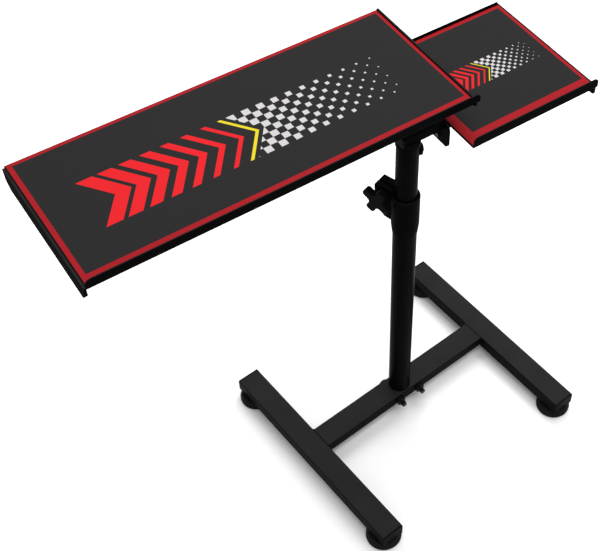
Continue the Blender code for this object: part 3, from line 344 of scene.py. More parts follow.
class Finish:
    """A material while it is put together."""

    def __init__(self, name):
        self.material = bpy.data.materials.new(name)
        self.material.use_nodes = True
        self.tree = self.material.node_tree
        self.tree.nodes.clear()
        output = self.tree.nodes.new("ShaderNodeOutputMaterial")
        self.shader = self.tree.nodes.new("ShaderNodeBsdfPrincipled")
        self.tree.links.new(self.shader.outputs[0], output.inputs["Surface"])

    def node(self, kind, settings=None, inputs=None):
        """A node of a type, with its settings and then the values or links of its inputs."""
        made = self.tree.nodes.new(kind)
        for name, value in (settings or {}).items():
            if name == "stops":
                self.fill_ramp(made.color_ramp, value)
            else:
                setattr(made, name, value)
        for name, value in (inputs or {}).items():
            self.feed(made.inputs[name], value)
        return made

    def fill_ramp(self, ramp, stops):
        """Places a ramp's stops, each a position and a grey."""
        while len(ramp.elements) < len(stops):
            ramp.elements.new(0.5)
        for element, (position, grey) in zip(ramp.elements, stops):
            element.position = position
            element.color = (grey, grey, grey, 1.0)

    def feed(self, socket, value):
        """Links a part of the material to a socket, or sets a constant on it."""
        if isinstance(value, Value):
            self.tree.links.new(value.socket, socket)
        elif isinstance(value, bpy.types.NodeSocket):
            self.tree.links.new(value, socket)
        else:
            socket.default_value = value

    def place(self, centre=(0.0, 0.0, 0.0), turn=0.0):
        """Object coordinates about a centre, turned about the upright axis."""
        coordinates = self.node("ShaderNodeTexCoord")
        mapping = self.node(
            "ShaderNodeMapping", {"vector_type": "TEXTURE"},
            {"Vector": coordinates.outputs["Object"], "Location": centre,
             "Rotation": (0.0, 0.0, turn)})
        return mapping.outputs["Vector"]

    def split(self, vector):
        """The three numbers of a vector."""
        parts = self.node("ShaderNodeSeparateXYZ", None, {"Vector": vector})
        return [Value(self, parts.outputs[index]) for index in range(3)]

    def noise(self, vector, size, detail=2.0, roughness=0.5):
        """Noise with features of a size, from 0 to 1."""
        made = self.node(
            "ShaderNodeTexNoise", None,
            {"Vector": vector, "Scale": 1.0 / size, "Detail": detail, "Roughness": roughness})
        return Value(self, made.outputs["Fac"])

    def ramp(self, value, stops):
        """A number read through a ramp."""
        made = self.node("ShaderNodeValToRGB", {"stops": stops}, {"Fac": value})
        return Value(self, made.outputs["Color"])

    def facing_up(self):
        """How far the surface faces up, from 0 on the sides to 1 on top."""
        upright = self.split(self.node("ShaderNodeTexCoord").outputs["Normal"])[2]
        return self.ramp(upright, ((0.55, 0.0), (0.92, 1.0)))

    def mix(self, factor, first, second):
        """A colour between two, by a factor."""
        made = self.node("ShaderNodeMix", {"data_type": "RGBA"}, {0: factor, 6: first, 7: second})
        return made.outputs[2]

    def shades(self, factor, colour, first, second):
        """A colour between two shades of it, each a factor of its lightness."""
        return self.mix(factor, opaque(colour, first), opaque(colour, second))

    def bump(self, height, distance, strength):
        """Surface directions that follow a height."""
        made = self.node(
            "ShaderNodeBump", None, {"Height": height, "Distance": distance, "Strength": strength})
        return made.outputs["Normal"]

    def surface(self, **inputs):
        """Sets the shader's inputs, named with underscores, and gives back the material."""
        for name, value in inputs.items():
            self.feed(self.shader.inputs[name.replace("_", " ")], value)
        return self.material


def opaque(colour, factor=1.0):
    """A colour with full cover, made lighter or darker by a factor."""
    return (colour[0] * factor, colour[1] * factor, colour[2] * factor, 1.0)


# ---------------- finishes
def powder_coat(name, gloss, depth):
    """Matte black powder coat with its orange peel, its upward faces painted lighter as if lit from
    above. More depth makes it darker.
    """
    settings = bpy.context.scene.tray_stand_coatings
    finish = Finish(name)
    place = finish.place()
    cloud = finish.noise(place, size=0.060, detail=3.0)
    peel = finish.noise(place, size=settings.powder_grain * 2.5)
    grain = finish.noise(place, size=settings.powder_grain, detail=1.0)
    coat = finish.shades(cloud, settings.powder_colour, 0.82 / depth, 1.18 / depth)
    # Painted highlight: faces that point up are mixed towards a lighter colour, as if lit from
    # above.
    painted_top_light = finish.facing_up() * (0.6 + cloud * 0.6)
    colour = finish.mix(painted_top_light, coat, opaque(settings.lit_top_colour, 1.0 / depth))
    roughness = settings.powder_roughness + (cloud - 0.5) * 0.10 + (grain - 0.5) * 0.16
    return finish.surface(
        Base_Color=colour, Roughness=roughness, Specular_IOR_Level=gloss,
        Normal=finish.bump(peel * 0.6 + grain * 0.4, distance=0.00022, strength=0.55))


def tube_paint():
    """Satin black paint on the column's drawn tubes, with faint draw lines along them."""
    settings = bpy.context.scene.tray_stand_coatings
    finish = Finish("tube_paint")
    place = finish.place(FOOT)
    drawn = finish.node(
        "ShaderNodeMapping", {"vector_type": "POINT"}, {"Vector": place, "Scale": (1.0, 1.0, 0.02)})
    lines = finish.noise(drawn.outputs["Vector"], size=0.0012)
    cloud = finish.noise(place, size=0.045, detail=3.0)
    grain = finish.noise(place, size=0.0006, detail=1.0)
    roughness = settings.tube_roughness + (cloud - 0.5) * 0.08 + (lines - 0.5) * 0.08
    return finish.surface(
        Base_Color=finish.shades(cloud, settings.tube_colour, 0.85, 1.15),
        Roughness=roughness, Specular_IOR_Level=TUBE_GLOSS,
        Normal=finish.bump(lines * 0.5 + grain * 0.5, distance=0.00008, strength=0.35))


def moulded_plastic():
    """Black plastic with the fine grain of its mould."""
    settings = bpy.context.scene.tray_stand_coatings
    finish = Finish("moulded_plastic")
    place = finish.place()
    grain = finish.noise(place, size=0.00045, roughness=0.6)
    cloud = finish.noise(place, size=0.020)
    return finish.surface(
        Base_Color=finish.shades(cloud, settings.plastic_colour, 0.85, 1.15),
        Roughness=0.45 + (grain - 0.5) * 0.20, Specular_IOR_Level=PLASTIC_GLOSS,
        Normal=finish.bump(grain, distance=0.00012, strength=0.5))


def black_oxide():
    """Blackened steel of the bolts and nuts, a little worn and oily."""
    settings = bpy.context.scene.tray_stand_coatings
    finish = Finish("black_oxide")
    place = finish.place()
    wear = finish.noise(place, size=0.0035, detail=4.0, roughness=0.65)
    scratch = finish.noise(place, size=0.0004)
    worn = finish.ramp(wear, ((0.45, 0.0), (0.75, 1.0)))
    return finish.surface(
        Base_Color=finish.shades(worn, settings.oxide_colour, 1.0, 2.2),
        Metallic=0.9, Roughness=0.30 + wear * 0.22,
        Normal=finish.bump(scratch, distance=0.00004, strength=0.4))


def zinc_plate():
    """Bright zinc plate with its faint spangle."""
    settings = bpy.context.scene.tray_stand_coatings
    finish = Finish("zinc_plate")
    place = finish.place()
    spangle = finish.noise(place, size=0.002, detail=3.0)
    grain = finish.noise(place, size=0.0004, detail=1.0)
    return finish.surface(
        Base_Color=finish.shades(spangle, settings.zinc_colour, 0.8, 1.1),
        Metallic=1.0, Roughness=0.24 + spangle * 0.18,
        Normal=finish.bump(grain, distance=0.00003, strength=0.4))


def foot_rubber():
    """Matte rubber of the feet, dusty in its grain."""
    settings = bpy.context.scene.tray_stand_coatings
    finish = Finish("foot_rubber")
    place = finish.place()
    grain = finish.noise(place, size=0.0008, detail=3.0, roughness=0.6)
    cloud = finish.noise(place, size=0.015, detail=3.0)
    return finish.surface(
        Base_Color=finish.shades(cloud, settings.rubber_colour, 0.8, 1.25),
        Roughness=0.62 + (grain - 0.5) * 0.2, Specular_IOR_Level=RUBBER_GLOSS,
        Normal=finish.bump(grain, distance=0.0002, strength=0.5))


def racing_print(along, across, length, height):
    """Masks of a generic print: red chevrons that thin out, an accent chevron, fading chequers.

    along and across are measured from the print's middle. Gives the masks of the
    chevrons, the accent and the chequers.
    """
    chevrons = 7
    pitch = length * 0.068
    slant = 0.75
    widest, thinning = 0.40, 0.045
    gap = pitch * 0.35
    accent_width = length * 0.0065
    cell = height / 8
    smallest = 0.08

    start, end = -0.5 * length, 0.5 * length
    band = abs(across) < height / 2
    bent = along + abs(across) * slant
    run = (bent - start) / pitch
    index = run.floor()
    offset = abs(run - index - 0.5)
    red = (offset < widest - index * thinning) * run.between(0.0, chevrons) * band

    accent_at = start + pitch * chevrons + gap
    accent = (abs(bent - accent_at) < accent_width) * band

    chequer_start = accent_at + gap
    column = (along / cell).floor()
    row = (across / cell).floor()
    odd = (column + row) % 2.0
    in_cell = abs(along / cell - column - 0.5).larger(abs(across / cell - row - 0.5))
    fade = (along - chequer_start) / (end - chequer_start)
    squares = (in_cell < 0.5 - fade * (0.5 - smallest)) * (odd > 0.5) * band
    chequers = squares * (bent > chequer_start) * (along < end)
    return red, accent, chequers


def printed_cloth(name, low, high, dark_edge, border, print_size, print_offset):
    """Cloth face of a mat: weave, border and print.

    low and high are the mat's corners along the trays' own directions, about the
    column. dark_edge and border are widths at the left, right, front and rear sides; dark_edge is a
    darker band along the mat's outer edge.
    """
    mats = bpy.context.scene.tray_stand_mats
    finish = Finish(name)
    middle = (low + high) / 2
    middle.z = 0.0
    place = finish.place(FOOT + Matrix.Rotation(TRAY_TURN, 3, "Z") @ middle, TRAY_TURN)
    along, across, _ = finish.split(place)
    half = (high - low) / 2

    def inside(widths):
        """1 farther in than these widths from the mat's sides, else 0."""
        left, right, front, rear = widths
        return (along.between(-half.x + left, half.x - right)
                * across.between(-half.y + front, half.y - rear))

    outer = inside(dark_edge)
    inner = inside([first + second for first, second in zip(dark_edge, border)])
    ring = outer - inner
    red, accent, chequers = racing_print(
        along - print_offset[0], across - print_offset[1], *print_size)

    cloud = finish.noise(place, size=0.050, detail=3.0)
    fibre = finish.noise(place, size=0.0009)
    shade = cloud * 0.10 + fibre * 0.14
    cloth = finish.shades(shade, mats.cloth_colour, 1.0, 1.6)
    border_ink = finish.shades(shade, mats.border_colour, 1.0, 0.6)
    red_ink = finish.shades(shade, mats.print_colour, 1.0, 0.6)
    # A darker band, a quarter of the cloth's colour, along some of the mat's outer edges.
    dark_edge_colour = opaque(mats.cloth_colour, 0.25)
    colour = finish.mix(inner, dark_edge_colour, cloth)
    colour = finish.mix(ring, colour, border_ink)
    colour = finish.mix(red, colour, red_ink)
    colour = finish.mix(accent, colour, opaque(mats.accent_colour))
    colour = finish.mix(chequers, colour, opaque(mats.light_colour))

    wave = math.tau / mats.weave_pitch
    weave = (along * wave).sine() * (across * wave).sine()
    height = weave * 0.5 + fibre * 0.5
    ink = ring + red + accent + chequers
    return finish.surface(
        Base_Color=colour, Roughness=0.80 - ink * 0.12 + (fibre - 0.5) * 0.10,
        Specular_IOR_Level=CLOTH_GLOSS,
        Normal=finish.bump(height, distance=0.00010, strength=0.35))


# ---------------- modelling
def pick_nothing():
    """Leaves edit mode and deselects every object."""
    if bpy.context.object is not None and bpy.context.object.mode != "OBJECT":
        bpy.ops.object.mode_set(mode="OBJECT")
    bpy.ops.object.select_all(action="DESELECT")


def pick(*pieces):
    """Selects these objects alone, the first one active."""
    pick_nothing()
    for piece in pieces:
        piece.select_set(True)
    bpy.context.view_layer.objects.active = pieces[0]


def select_edges(piece, test):
    """Selects the edges that pass a test, in edit mode."""
    bpy.ops.object.mode_set(mode="EDIT")
    bpy.ops.mesh.select_mode(type="EDGE")
    bpy.ops.mesh.select_all(action="DESELECT")
    mesh = bmesh.from_edit_mesh(piece.data)
    for edge in mesh.edges:
        edge.select_set(test(edge))
    bmesh.update_edit_mesh(piece.data)


def select_every_face():
    """Selects all faces of the active object, in edit mode."""
    bpy.ops.object.mode_set(mode="EDIT")
    bpy.ops.mesh.select_mode(type="FACE")
    bpy.ops.mesh.select_all(action="SELECT")


def apply_modifier(piece, name, kind, **settings):
    """Adds a modifier and applies it."""
    pick(piece)
    modifier = piece.modifiers.new(name, kind)
    for key, value in settings.items():
        setattr(modifier, key, value)
    bpy.ops.object.modifier_apply(modifier=modifier.name)


def soften(piece, width, segments=2, angle=30.0):
    """Rounds a piece's sharp edges and shades it smooth across the roundings."""
    apply_modifier(
        piece, "rounded edges", "BEVEL", width=width, segments=segments, limit_method="ANGLE",
        angle_limit=math.radians(angle), miter_outer="MITER_ARC", use_clamp_overlap=True)
    smooth(piece, angle)


def smooth(piece, angle):
    """Shades a piece smooth, apart from edges sharper than an angle in degrees."""
    pick(piece)
    bpy.ops.object.shade_smooth_by_angle(angle=math.radians(angle), keep_sharp_edges=False)
    apply_modifier(piece, "even normals", "WEIGHTED_NORMAL", mode="FACE_AREA", keep_sharp=True)


def traced(node, name):
    """A merged copy of a node, ready to be worked on."""
    source = frame["nodes"][node]
    piece = bpy.data.objects.new(name, source.data.copy())
    piece.data.name = name
    bpy.context.scene.collection.objects.link(piece)
    pick(piece)
    if piece.data.has_custom_normals:
        bpy.ops.mesh.customdata_custom_splitnormals_clear()
    bpy.ops.object.mode_set(mode="EDIT")
    bpy.ops.mesh.select_all(action="SELECT")
    bpy.ops.mesh.remove_doubles(threshold=MERGE)
    bpy.ops.mesh.dissolve_limited(angle_limit=math.radians(0.5))
    bpy.ops.object.mode_set(mode="OBJECT")
    return piece


def fit(piece, nodes, material):
    """Gives a finished piece its material and its body, and hides the nodes that it stands for."""
    pick(piece)
    bpy.ops.object.transform_apply(location=True, rotation=True, scale=True)
    piece.data.materials.clear()
    piece.data.materials.append(material)
    body = frame["nodes"][nodes[0]]["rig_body"]
    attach(piece, body)
    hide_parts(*nodes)


def refinish(ending, material, edge, *nodes, segments=2):
    """Stands a piece with rounded edges in each node's place."""
    for node in nodes:
        piece = traced(node, f"{node}_{ending}")
        soften(piece, edge, segments)
        fit(piece, [node], material)


def tray_box(node):
    """Lowest and highest corner of a node along the trays' own directions, about the column."""
    turn = Matrix.Rotation(-TRAY_TURN, 3, "Z")
    points = [turn @ (vertex.co - FOOT) for vertex in frame["nodes"][node].data.vertices]
    low = Vector([min(point[axis] for point in points) for axis in range(3)])
    high = Vector([max(point[axis] for point in points) for axis in range(3)])
    return low, high


def aimed(direction, origin):
    """Matrix that turns +Z to a direction and moves the origin."""
    turn = Vector((0.0, 0.0, 1.0)).rotation_difference(Vector(direction)).to_matrix().to_4x4()
    return Matrix.Translation(origin) @ turn


def middle_of(node):
    """Middle of a node's box."""
    low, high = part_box(node)
    return (low + high) / 2


def recoat(node, material):
    """Gives a node that keeps its shape another material."""
    frame["nodes"][node].data.materials[0] = material


def discard(piece):
    """Deletes a pattern or a cutter."""
    pick(piece)
    bpy.ops.object.delete()


def place_copies(pattern, ending, places, material):
    """Stands a copy of a pattern in each node's place and drops the pattern."""
    for node, matrix in places.items():
        pick(pattern)
        bpy.ops.object.duplicate(linked=False)
        piece = bpy.context.object
        piece.name = f"{node}_{ending}"
        piece.data.name = piece.name
        piece.matrix_world = matrix
        fit(piece, [node], material)
    discard(pattern)


def centred(node, name):
    """A merged copy of a node with its middle at the origin."""
    piece = traced(node, name)
    piece.location = -middle_of(node)
    bpy.ops.object.transform_apply(location=True, rotation=True, scale=True)
    return piece


def wander(index):
    """Thickness of a hand-laid bead at one of its points, about 1."""
    return 1.0 + 0.10 * math.sin(index * 2.1) + 0.06 * math.sin(index * 0.7)


def bead(name, size, corner, radius, matrix, body):
    """Weld bead of a wandering thickness round a rectangle of a size."""
    longest_edge = 0.003
    pick_nothing()
    bpy.ops.mesh.primitive_plane_add(size=1.0, location=(0.0, 0.0, 0.0), scale=(1.0, 1.0, 1.0))
    seam = bpy.context.object
    seam.name = name
    seam.scale = (size[0], size[1], 1.0)
    bpy.ops.object.transform_apply(location=True, rotation=True, scale=True)
    bpy.ops.object.mode_set(mode="EDIT")
    bpy.ops.mesh.select_all(action="SELECT")
    bpy.ops.mesh.bevel(offset=corner, segments=3, affect="VERTICES")
    bpy.ops.mesh.select_all(action="SELECT")
    bpy.ops.mesh.delete(type="ONLY_FACE")
    for _ in range(4):
        select_edges(seam, lambda edge: edge.calc_length() > longest_edge)
        bpy.ops.mesh.subdivide(number_cuts=1)
    bpy.ops.object.mode_set(mode="OBJECT")
    pick(seam)
    bpy.ops.object.convert(target="CURVE")
    seam = bpy.context.object
    seam.data.bevel_depth = radius
    seam.data.bevel_resolution = 1
    for spline in seam.data.splines:
        spline.use_cyclic_u = True
        for index, point in enumerate(spline.points):
            point.radius = wander(index)
    bpy.ops.object.convert(target="MESH")
    seam = bpy.context.object
    seam.matrix_world = matrix
    pick(seam)
    bpy.ops.object.transform_apply(location=True, rotation=True, scale=True)
    smooth(seam, angle=60.0)
    seam.data.materials.clear()
    seam.data.materials.append(MATERIALS["powder"])
    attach(seam, body)


# ---------------- threads
def hexagon(name, flats, height, base, chamfered_ends):
    """Hexagon that stands on base, its corners chamfered at one or both ends."""
    bpy.ops.mesh.primitive_cylinder_add(
        vertices=6, radius=flats / 2 / math.cos(math.pi / 6), depth=height,
        location=(0.0, 0.0, base + height / 2))
    block = bpy.context.object
    block.name = name
    narrow = flats * 0.47
    wide = narrow + height * 2 * math.tan(math.radians(60.0))
    for end in chamfered_ends:
        bpy.ops.mesh.primitive_cone_add(
            vertices=48, radius1=narrow, radius2=wide, depth=height * 2,
            location=(0.0, 0.0, base + height))
        cutter = bpy.context.object
        if end == "upper":
            cutter.rotation_euler = (math.pi, 0.0, 0.0)
            cutter.location = (0.0, 0.0, base)
        apply_modifier(
            block, "chamfer", "BOOLEAN", operation="INTERSECT", solver="EXACT", object=cutter)
        discard(cutter)
    return block


def threaded_rod(name, radius, start, plain, length):
    """Rod along +Z with a plain stretch and then a rolled thread, its tip chamfered."""
    pitch = radius * THREAD_PITCH
    flank, valley, crest = pitch * 0.38, pitch * 0.16, pitch * 0.08
    root = 0.86
    tip = root * 0.94
    bpy.ops.mesh.primitive_circle_add(
        vertices=24, radius=radius, fill_type="NGON", location=(0.0, 0.0, start))
    rod = bpy.context.object
    rod.name = name
    select_every_face()

    def grow(step, scale):
        """Extrudes the rod's end by a step and scales it."""
        bpy.ops.mesh.extrude_region_move(TRANSFORM_OT_translate={"value": (0.0, 0.0, step)})
        bpy.ops.transform.resize(value=(scale, scale, 1.0), center_override=(0.0, 0.0, 0.0))

    if plain > 0:
        grow(plain, 1.0)
    turns = int((length - plain) / pitch) - 1
    for _ in range(turns):
        grow(flank, root)
        grow(valley, 1.0)
        grow(flank, 1.0 / root)
        grow(crest, 1.0)
    grow(length - plain - turns * pitch, tip)
    bpy.ops.mesh.select_all(action="SELECT")
    bpy.ops.mesh.normals_make_consistent(inside=False)
    bpy.ops.object.mode_set(mode="OBJECT")
    return rod


def across_flats(radius):
    """Width of a hex head or nut for a screw's radius, narrower from M12 on."""
    return radius * (3.0 if radius >= M12 else 3.25)


def bolts(directions, radius, material):
    """Chamfered hex bolts with washers and threads in the places of plain ones of one length."""
    places = {}
    washer = radius * WASHER_HEIGHT
    head = radius * HEAD_HEIGHT
    for node, direction in directions.items():
        direction = Vector(direction).normalized()
        points = [vertex.co for vertex in frame["nodes"][node].data.vertices]
        reach = [point.dot(direction) for point in points]
        tip = [point for point in points if point.dot(direction) > max(reach) - MERGE * 10]
        axis = sum(tip, Vector()) / len(tip)
        length = max(reach) - min(reach)
        seat = axis + direction * (min(reach) + washer + head - axis.dot(direction))
        places[node] = aimed(direction, seat)

    flats = across_flats(radius)
    steel = hexagon("bolt_pattern", flats, head, -washer - head, ("lower",))
    soften(steel, radius * HEX_ROUNDING, segments=1, angle=20.0)
    bpy.ops.mesh.primitive_cylinder_add(
        vertices=40, radius=radius * WASHER_RADIUS, depth=washer,
        location=(0.0, 0.0, -washer / 2))
    disc = bpy.context.object
    soften(disc, washer / 4, segments=1)
    under = length - washer - head
    shank = threaded_rod(
        "shank", radius, start=-washer / 2, plain=under * 0.45, length=under + washer / 2)
    smooth(shank, angle=20.0)
    pick(steel, disc, shank)
    bpy.ops.object.join()
    place_copies(steel, "steel", places, material)


def nuts(directions, radius, material):
    """Chamfered hex nuts with a chamfered bore, in the places of plain ones."""
    places = {}
    for node, direction in directions.items():
        direction = Vector(direction).normalized()
        reach = [vertex.co.dot(direction) for vertex in frame["nodes"][node].data.vertices]
        height = max(reach) - min(reach)
        places[node] = aimed(direction, middle_of(node))
    block = hexagon("nut_pattern", across_flats(radius), height, -height / 2, ("lower", "upper"))
    bpy.ops.mesh.primitive_cylinder_add(
        vertices=32, radius=radius * BORE_RADIUS, depth=height * 2, location=(0.0, 0.0, 0.0))
    bore = bpy.context.object
    apply_modifier(block, "bore", "BOOLEAN", operation="DIFFERENCE", solver="EXACT", object=bore)
    discard(bore)
    soften(block, radius * HEX_ROUNDING, segments=1, angle=20.0)
    place_copies(block, "steel", places, material)


# ---------------- operators
class TRAYSTAND_OT_base(bpy.types.Operator):
    """Coats the foot bars and the cross bar, plates the shoe and lays the welds"""

    bl_idname = "traystand.base"
    bl_label = "Base"
    bl_options = {"REGISTER", "UNDO"}

    def execute(self, context):
        edges = context.scene.tray_stand_edges
        refinish("coated", MATERIALS["powder"], edges.tube,
                 "left_foot_bar", "right_foot_bar", "cross_bar")
        recoat("column_shoe", MATERIALS["zinc"])
        low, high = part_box("cross_bar")
        size = (high.z - low.z, high.y - low.y)
        quarter_turn = Matrix.Rotation(math.pi / 2, 4, "Y")
        for side, end in (("left", low.x), ("right", high.x)):
            place = Vector((end, (low.y + high.y) / 2, (low.z + high.z) / 2))
            bead(f"{side}_bar_weld", size, edges.weld_corner, edges.weld,
                 Matrix.Translation(place) @ quarter_turn, frame["nodes"]["cross_bar"]["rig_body"])
        return {"FINISHED"}


class TRAYSTAND_OT_caps(bpy.types.Operator):
    """Fits the moulded caps in the ends of the bars and of the arm"""

    bl_idname = "traystand.caps"
    bl_label = "End Caps"
    bl_options = {"REGISTER", "UNDO"}

    def execute(self, context):
        edge = context.scene.tray_stand_edges.moulded
        cap = centred("left_front_bar_cap", "bar_cap_pattern")
        soften(cap, edge, segments=3)
        half_turn = Matrix.Rotation(math.pi, 4, "Z")
        places = {}
        for side in ("left", "right"):
            front = f"{side}_front_bar_cap"
            rear = f"{side}_rear_bar_cap"
            places[front] = Matrix.Translation(middle_of(front))
            places[rear] = Matrix.Translation(middle_of(rear)) @ half_turn
        place_copies(cap, "moulded", places, MATERIALS["plastic"])
        refinish("moulded", MATERIALS["plastic"], edge, "arm_end_cap", segments=3)
        return {"FINISHED"}


class TRAYSTAND_OT_feet(bpy.types.Operator):
    """Models the rubber feet and their studs, and plates the inserts"""

    bl_idname = "traystand.feet"
    bl_label = "Feet"
    bl_options = {"REGISTER", "UNDO"}

    def execute(self, context):
        corners = [f"{end}_{side}" for end in ("front", "rear") for side in ("left", "right")]
        pad = centred("front_left_foot_pad", "pad_pattern")
        soften(pad, context.scene.tray_stand_edges.pad, segments=3)
        places = {f"{corner}_foot_pad": Matrix.Translation(middle_of(f"{corner}_foot_pad"))
                  for corner in corners}
        place_copies(pad, "rubber", places, MATERIALS["rubber"])

        low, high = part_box("front_left_foot_stud")
        length = high.z - low.z
        rod = threaded_rod(
            "stud_pattern", (high.x - low.x) / 2, start=0.0, plain=0.0, length=length)
        smooth(rod, angle=20.0)
        drop = Vector((0.0, 0.0, length / 2))
        places = {f"{corner}_foot_stud": Matrix.Translation(middle_of(f"{corner}_foot_stud") - drop)
                  for corner in corners}
        place_copies(rod, "steel", places, MATERIALS["zinc"])
        for corner in corners:
            recoat(f"{corner}_insert", MATERIALS["zinc"])
        return {"FINISHED"}


class TRAYSTAND_OT_column(bpy.types.Operator):
    """Paints the column's tubes and fits the bush and the plug"""

    bl_idname = "traystand.column"
    bl_label = "Column"
    bl_options = {"REGISTER", "UNDO"}

    def execute(self, context):
        edge = context.scene.tray_stand_edges.tube
        refinish("painted", MATERIALS["tube"], edge, "outer_tube", "inner_tube")
        refinish("moulded", MATERIALS["plastic"], edge, "column_bush", "tube_end_plug")
        return {"FINISHED"}


class TRAYSTAND_OT_clamp(bpy.types.Operator):
    """Coats the split collar, moulds the knob and plates its screw"""

    bl_idname = "traystand.clamp"
    bl_label = "Clamp"
    bl_options = {"REGISTER", "UNDO"}

    def execute(self, context):
        edge = context.scene.tray_stand_edges.tube
        refinish("coated", MATERIALS["sheet"], edge, "clamp_collar")
        refinish("moulded", MATERIALS["plastic"], edge, "clamp_knob")
        recoat("clamp_screw", MATERIALS["zinc"])
        return {"FINISHED"}


class TRAYSTAND_OT_head(bpy.types.Operator):
    """Coats the swivelling head: hub, arm, drop plate and hinge lugs"""

    bl_idname = "traystand.head"
    bl_label = "Head"
    bl_options = {"REGISTER", "UNDO"}

    def execute(self, context):
        edges = context.scene.tray_stand_edges
        sheet = MATERIALS["sheet"]
        refinish("coated", sheet, edges.plate, "swivel_hub")
        refinish("coated", sheet, edges.tube, "support_arm")
        refinish("coated", sheet, edges.plate, "mouse_drop_plate", "left_arm_lug", "right_arm_lug")
        return {"FINISHED"}


class TRAYSTAND_OT_keyboard_tray(bpy.types.Operator):
    """Coats the keyboard tray's pan, end plates, rail and lugs"""

    bl_idname = "traystand.keyboard_tray"
    bl_label = "Keyboard Tray"
    bl_options = {"REGISTER", "UNDO"}

    def execute(self, context):
        edges = context.scene.tray_stand_edges
        sheet = MATERIALS["sheet"]
        refinish("coated", sheet, edges.sheet, "keyboard_tray_pan", "tray_rail")
        refinish("coated", MATERIALS["plate"], edges.plate,
                 "keyboard_left_end_plate", "keyboard_right_end_plate")
        refinish("coated", sheet, edges.plate, "left_tray_lug", "right_tray_lug")
        return {"FINISHED"}


class TRAYSTAND_OT_mouse_tray(bpy.types.Operator):
    """Coats the mouse tray's pan, end plate and bracket"""

    bl_idname = "traystand.mouse_tray"
    bl_label = "Mouse Tray"
    bl_options = {"REGISTER", "UNDO"}

    def execute(self, context):
        edges = context.scene.tray_stand_edges
        sheet = MATERIALS["sheet"]
        refinish("coated", sheet, edges.sheet, "mouse_tray_pan", "mouse_bracket")
        refinish("coated", sheet, edges.plate, "mouse_right_end_plate")
        return {"FINISHED"}


class TRAYSTAND_OT_mats(bpy.types.Operator):
    """Lays the printed cloth mats on the trays"""

    bl_idname = "traystand.mats"
    bl_label = "Mats"
    bl_options = {"REGISTER", "UNDO"}

    def execute(self, context):
        mats = context.scene.tray_stand_mats
        self.mat(
            "keyboard_mat", mats,
            dark_edge=(0.0021, 0.0, 0.0, 0.0010), border=(0.0082, 0.0065, 0.0205, 0.0065),
            print_size=(mats.keyboard_print_length, mats.keyboard_print_height),
            print_offset=(0.016, -0.005))
        self.mat(
            "mouse_mat", mats,
            dark_edge=(0.0008, 0.0002, 0.0, 0.0), border=(0.0187, 0.0065, 0.0265, 0.0085),
            print_size=(mats.mouse_print_length, mats.mouse_print_height),
            print_offset=(0.010, 0.004))
        return {"FINISHED"}

    def mat(self, node, mats, dark_edge, border, print_size, print_offset):
        """Lays one mat with rounded corners and edges, and prints it.

        dark_edge and border are widths at the left, right, front and rear sides; dark_edge is a
        darker band along the mat's outer edge.
        """
        low, high = tray_box(node)
        size = high - low
        middle = (low + high) / 2
        place = FOOT + Matrix.Rotation(TRAY_TURN, 4, "Z") @ middle
        pick_nothing()
        bpy.ops.mesh.primitive_cube_add(
            size=1.0, location=place, rotation=(0.0, 0.0, TRAY_TURN), scale=size)
        piece = bpy.context.object
        piece.name = f"{node}_cloth"
        bpy.ops.object.transform_apply(location=True, rotation=True, scale=True)
        select_edges(piece, lambda edge: abs(edge.verts[0].co.z - edge.verts[1].co.z) > size.z / 2)
        bpy.ops.mesh.bevel(offset=mats.corner_radius, segments=4)
        top = high.z - MERGE
        select_edges(piece, lambda edge: all(vertex.co.z > top for vertex in edge.verts))
        bpy.ops.mesh.bevel(offset=mats.edge_radius, segments=3)
        smooth(piece, angle=40.0)
        cloth = printed_cloth(f"{node}_print", low, high, dark_edge, border, print_size, print_offset)
        fit(piece, [node], cloth)


class TRAYSTAND_OT_fasteners(bpy.types.Operator):
    """Models the bolts, nuts and screws with their chamfers and threads"""

    bl_idname = "traystand.fasteners"
    bl_label = "Fasteners"
    bl_options = {"REGISTER", "UNDO"}

    def execute(self, context):
        oxide = MATERIALS["oxide"]
        back = (0.0, 1.0, 0.0)
        front = (0.0, -1.0, 0.0)
        up = (0.0, 0.0, 1.0)
        outward = middle_of("swivel_lock_screw") - COLUMN
        bolts({"left_shoe_bolt": front, "right_shoe_bolt": front}, M12, oxide)
        bolts({"left_pivot_bolt": TRAY_RIGHT, "right_pivot_bolt": -TRAY_RIGHT}, M6, oxide)
        bolts({"mouse_pivot_bolt": TRAY_RIGHT}, M6, oxide)
        bolts({"left_slide_screw": up, "right_slide_screw": up}, M5, oxide)
        bolts({"swivel_lock_screw": (-outward.x, -outward.y, 0.0)}, M10, oxide)
        nuts({"left_shoe_nut": back, "right_shoe_nut": back}, M12, oxide)
        nuts({"left_pivot_nut": TRAY_RIGHT, "right_pivot_nut": TRAY_RIGHT}, M6, oxide)
        nuts({"mouse_pivot_nut": TRAY_RIGHT}, M6, oxide)
        nuts({"clamp_nut": JOINTS["clamp_knob_turn"]["axis"]}, M8, oxide)
        return {"FINISHED"}


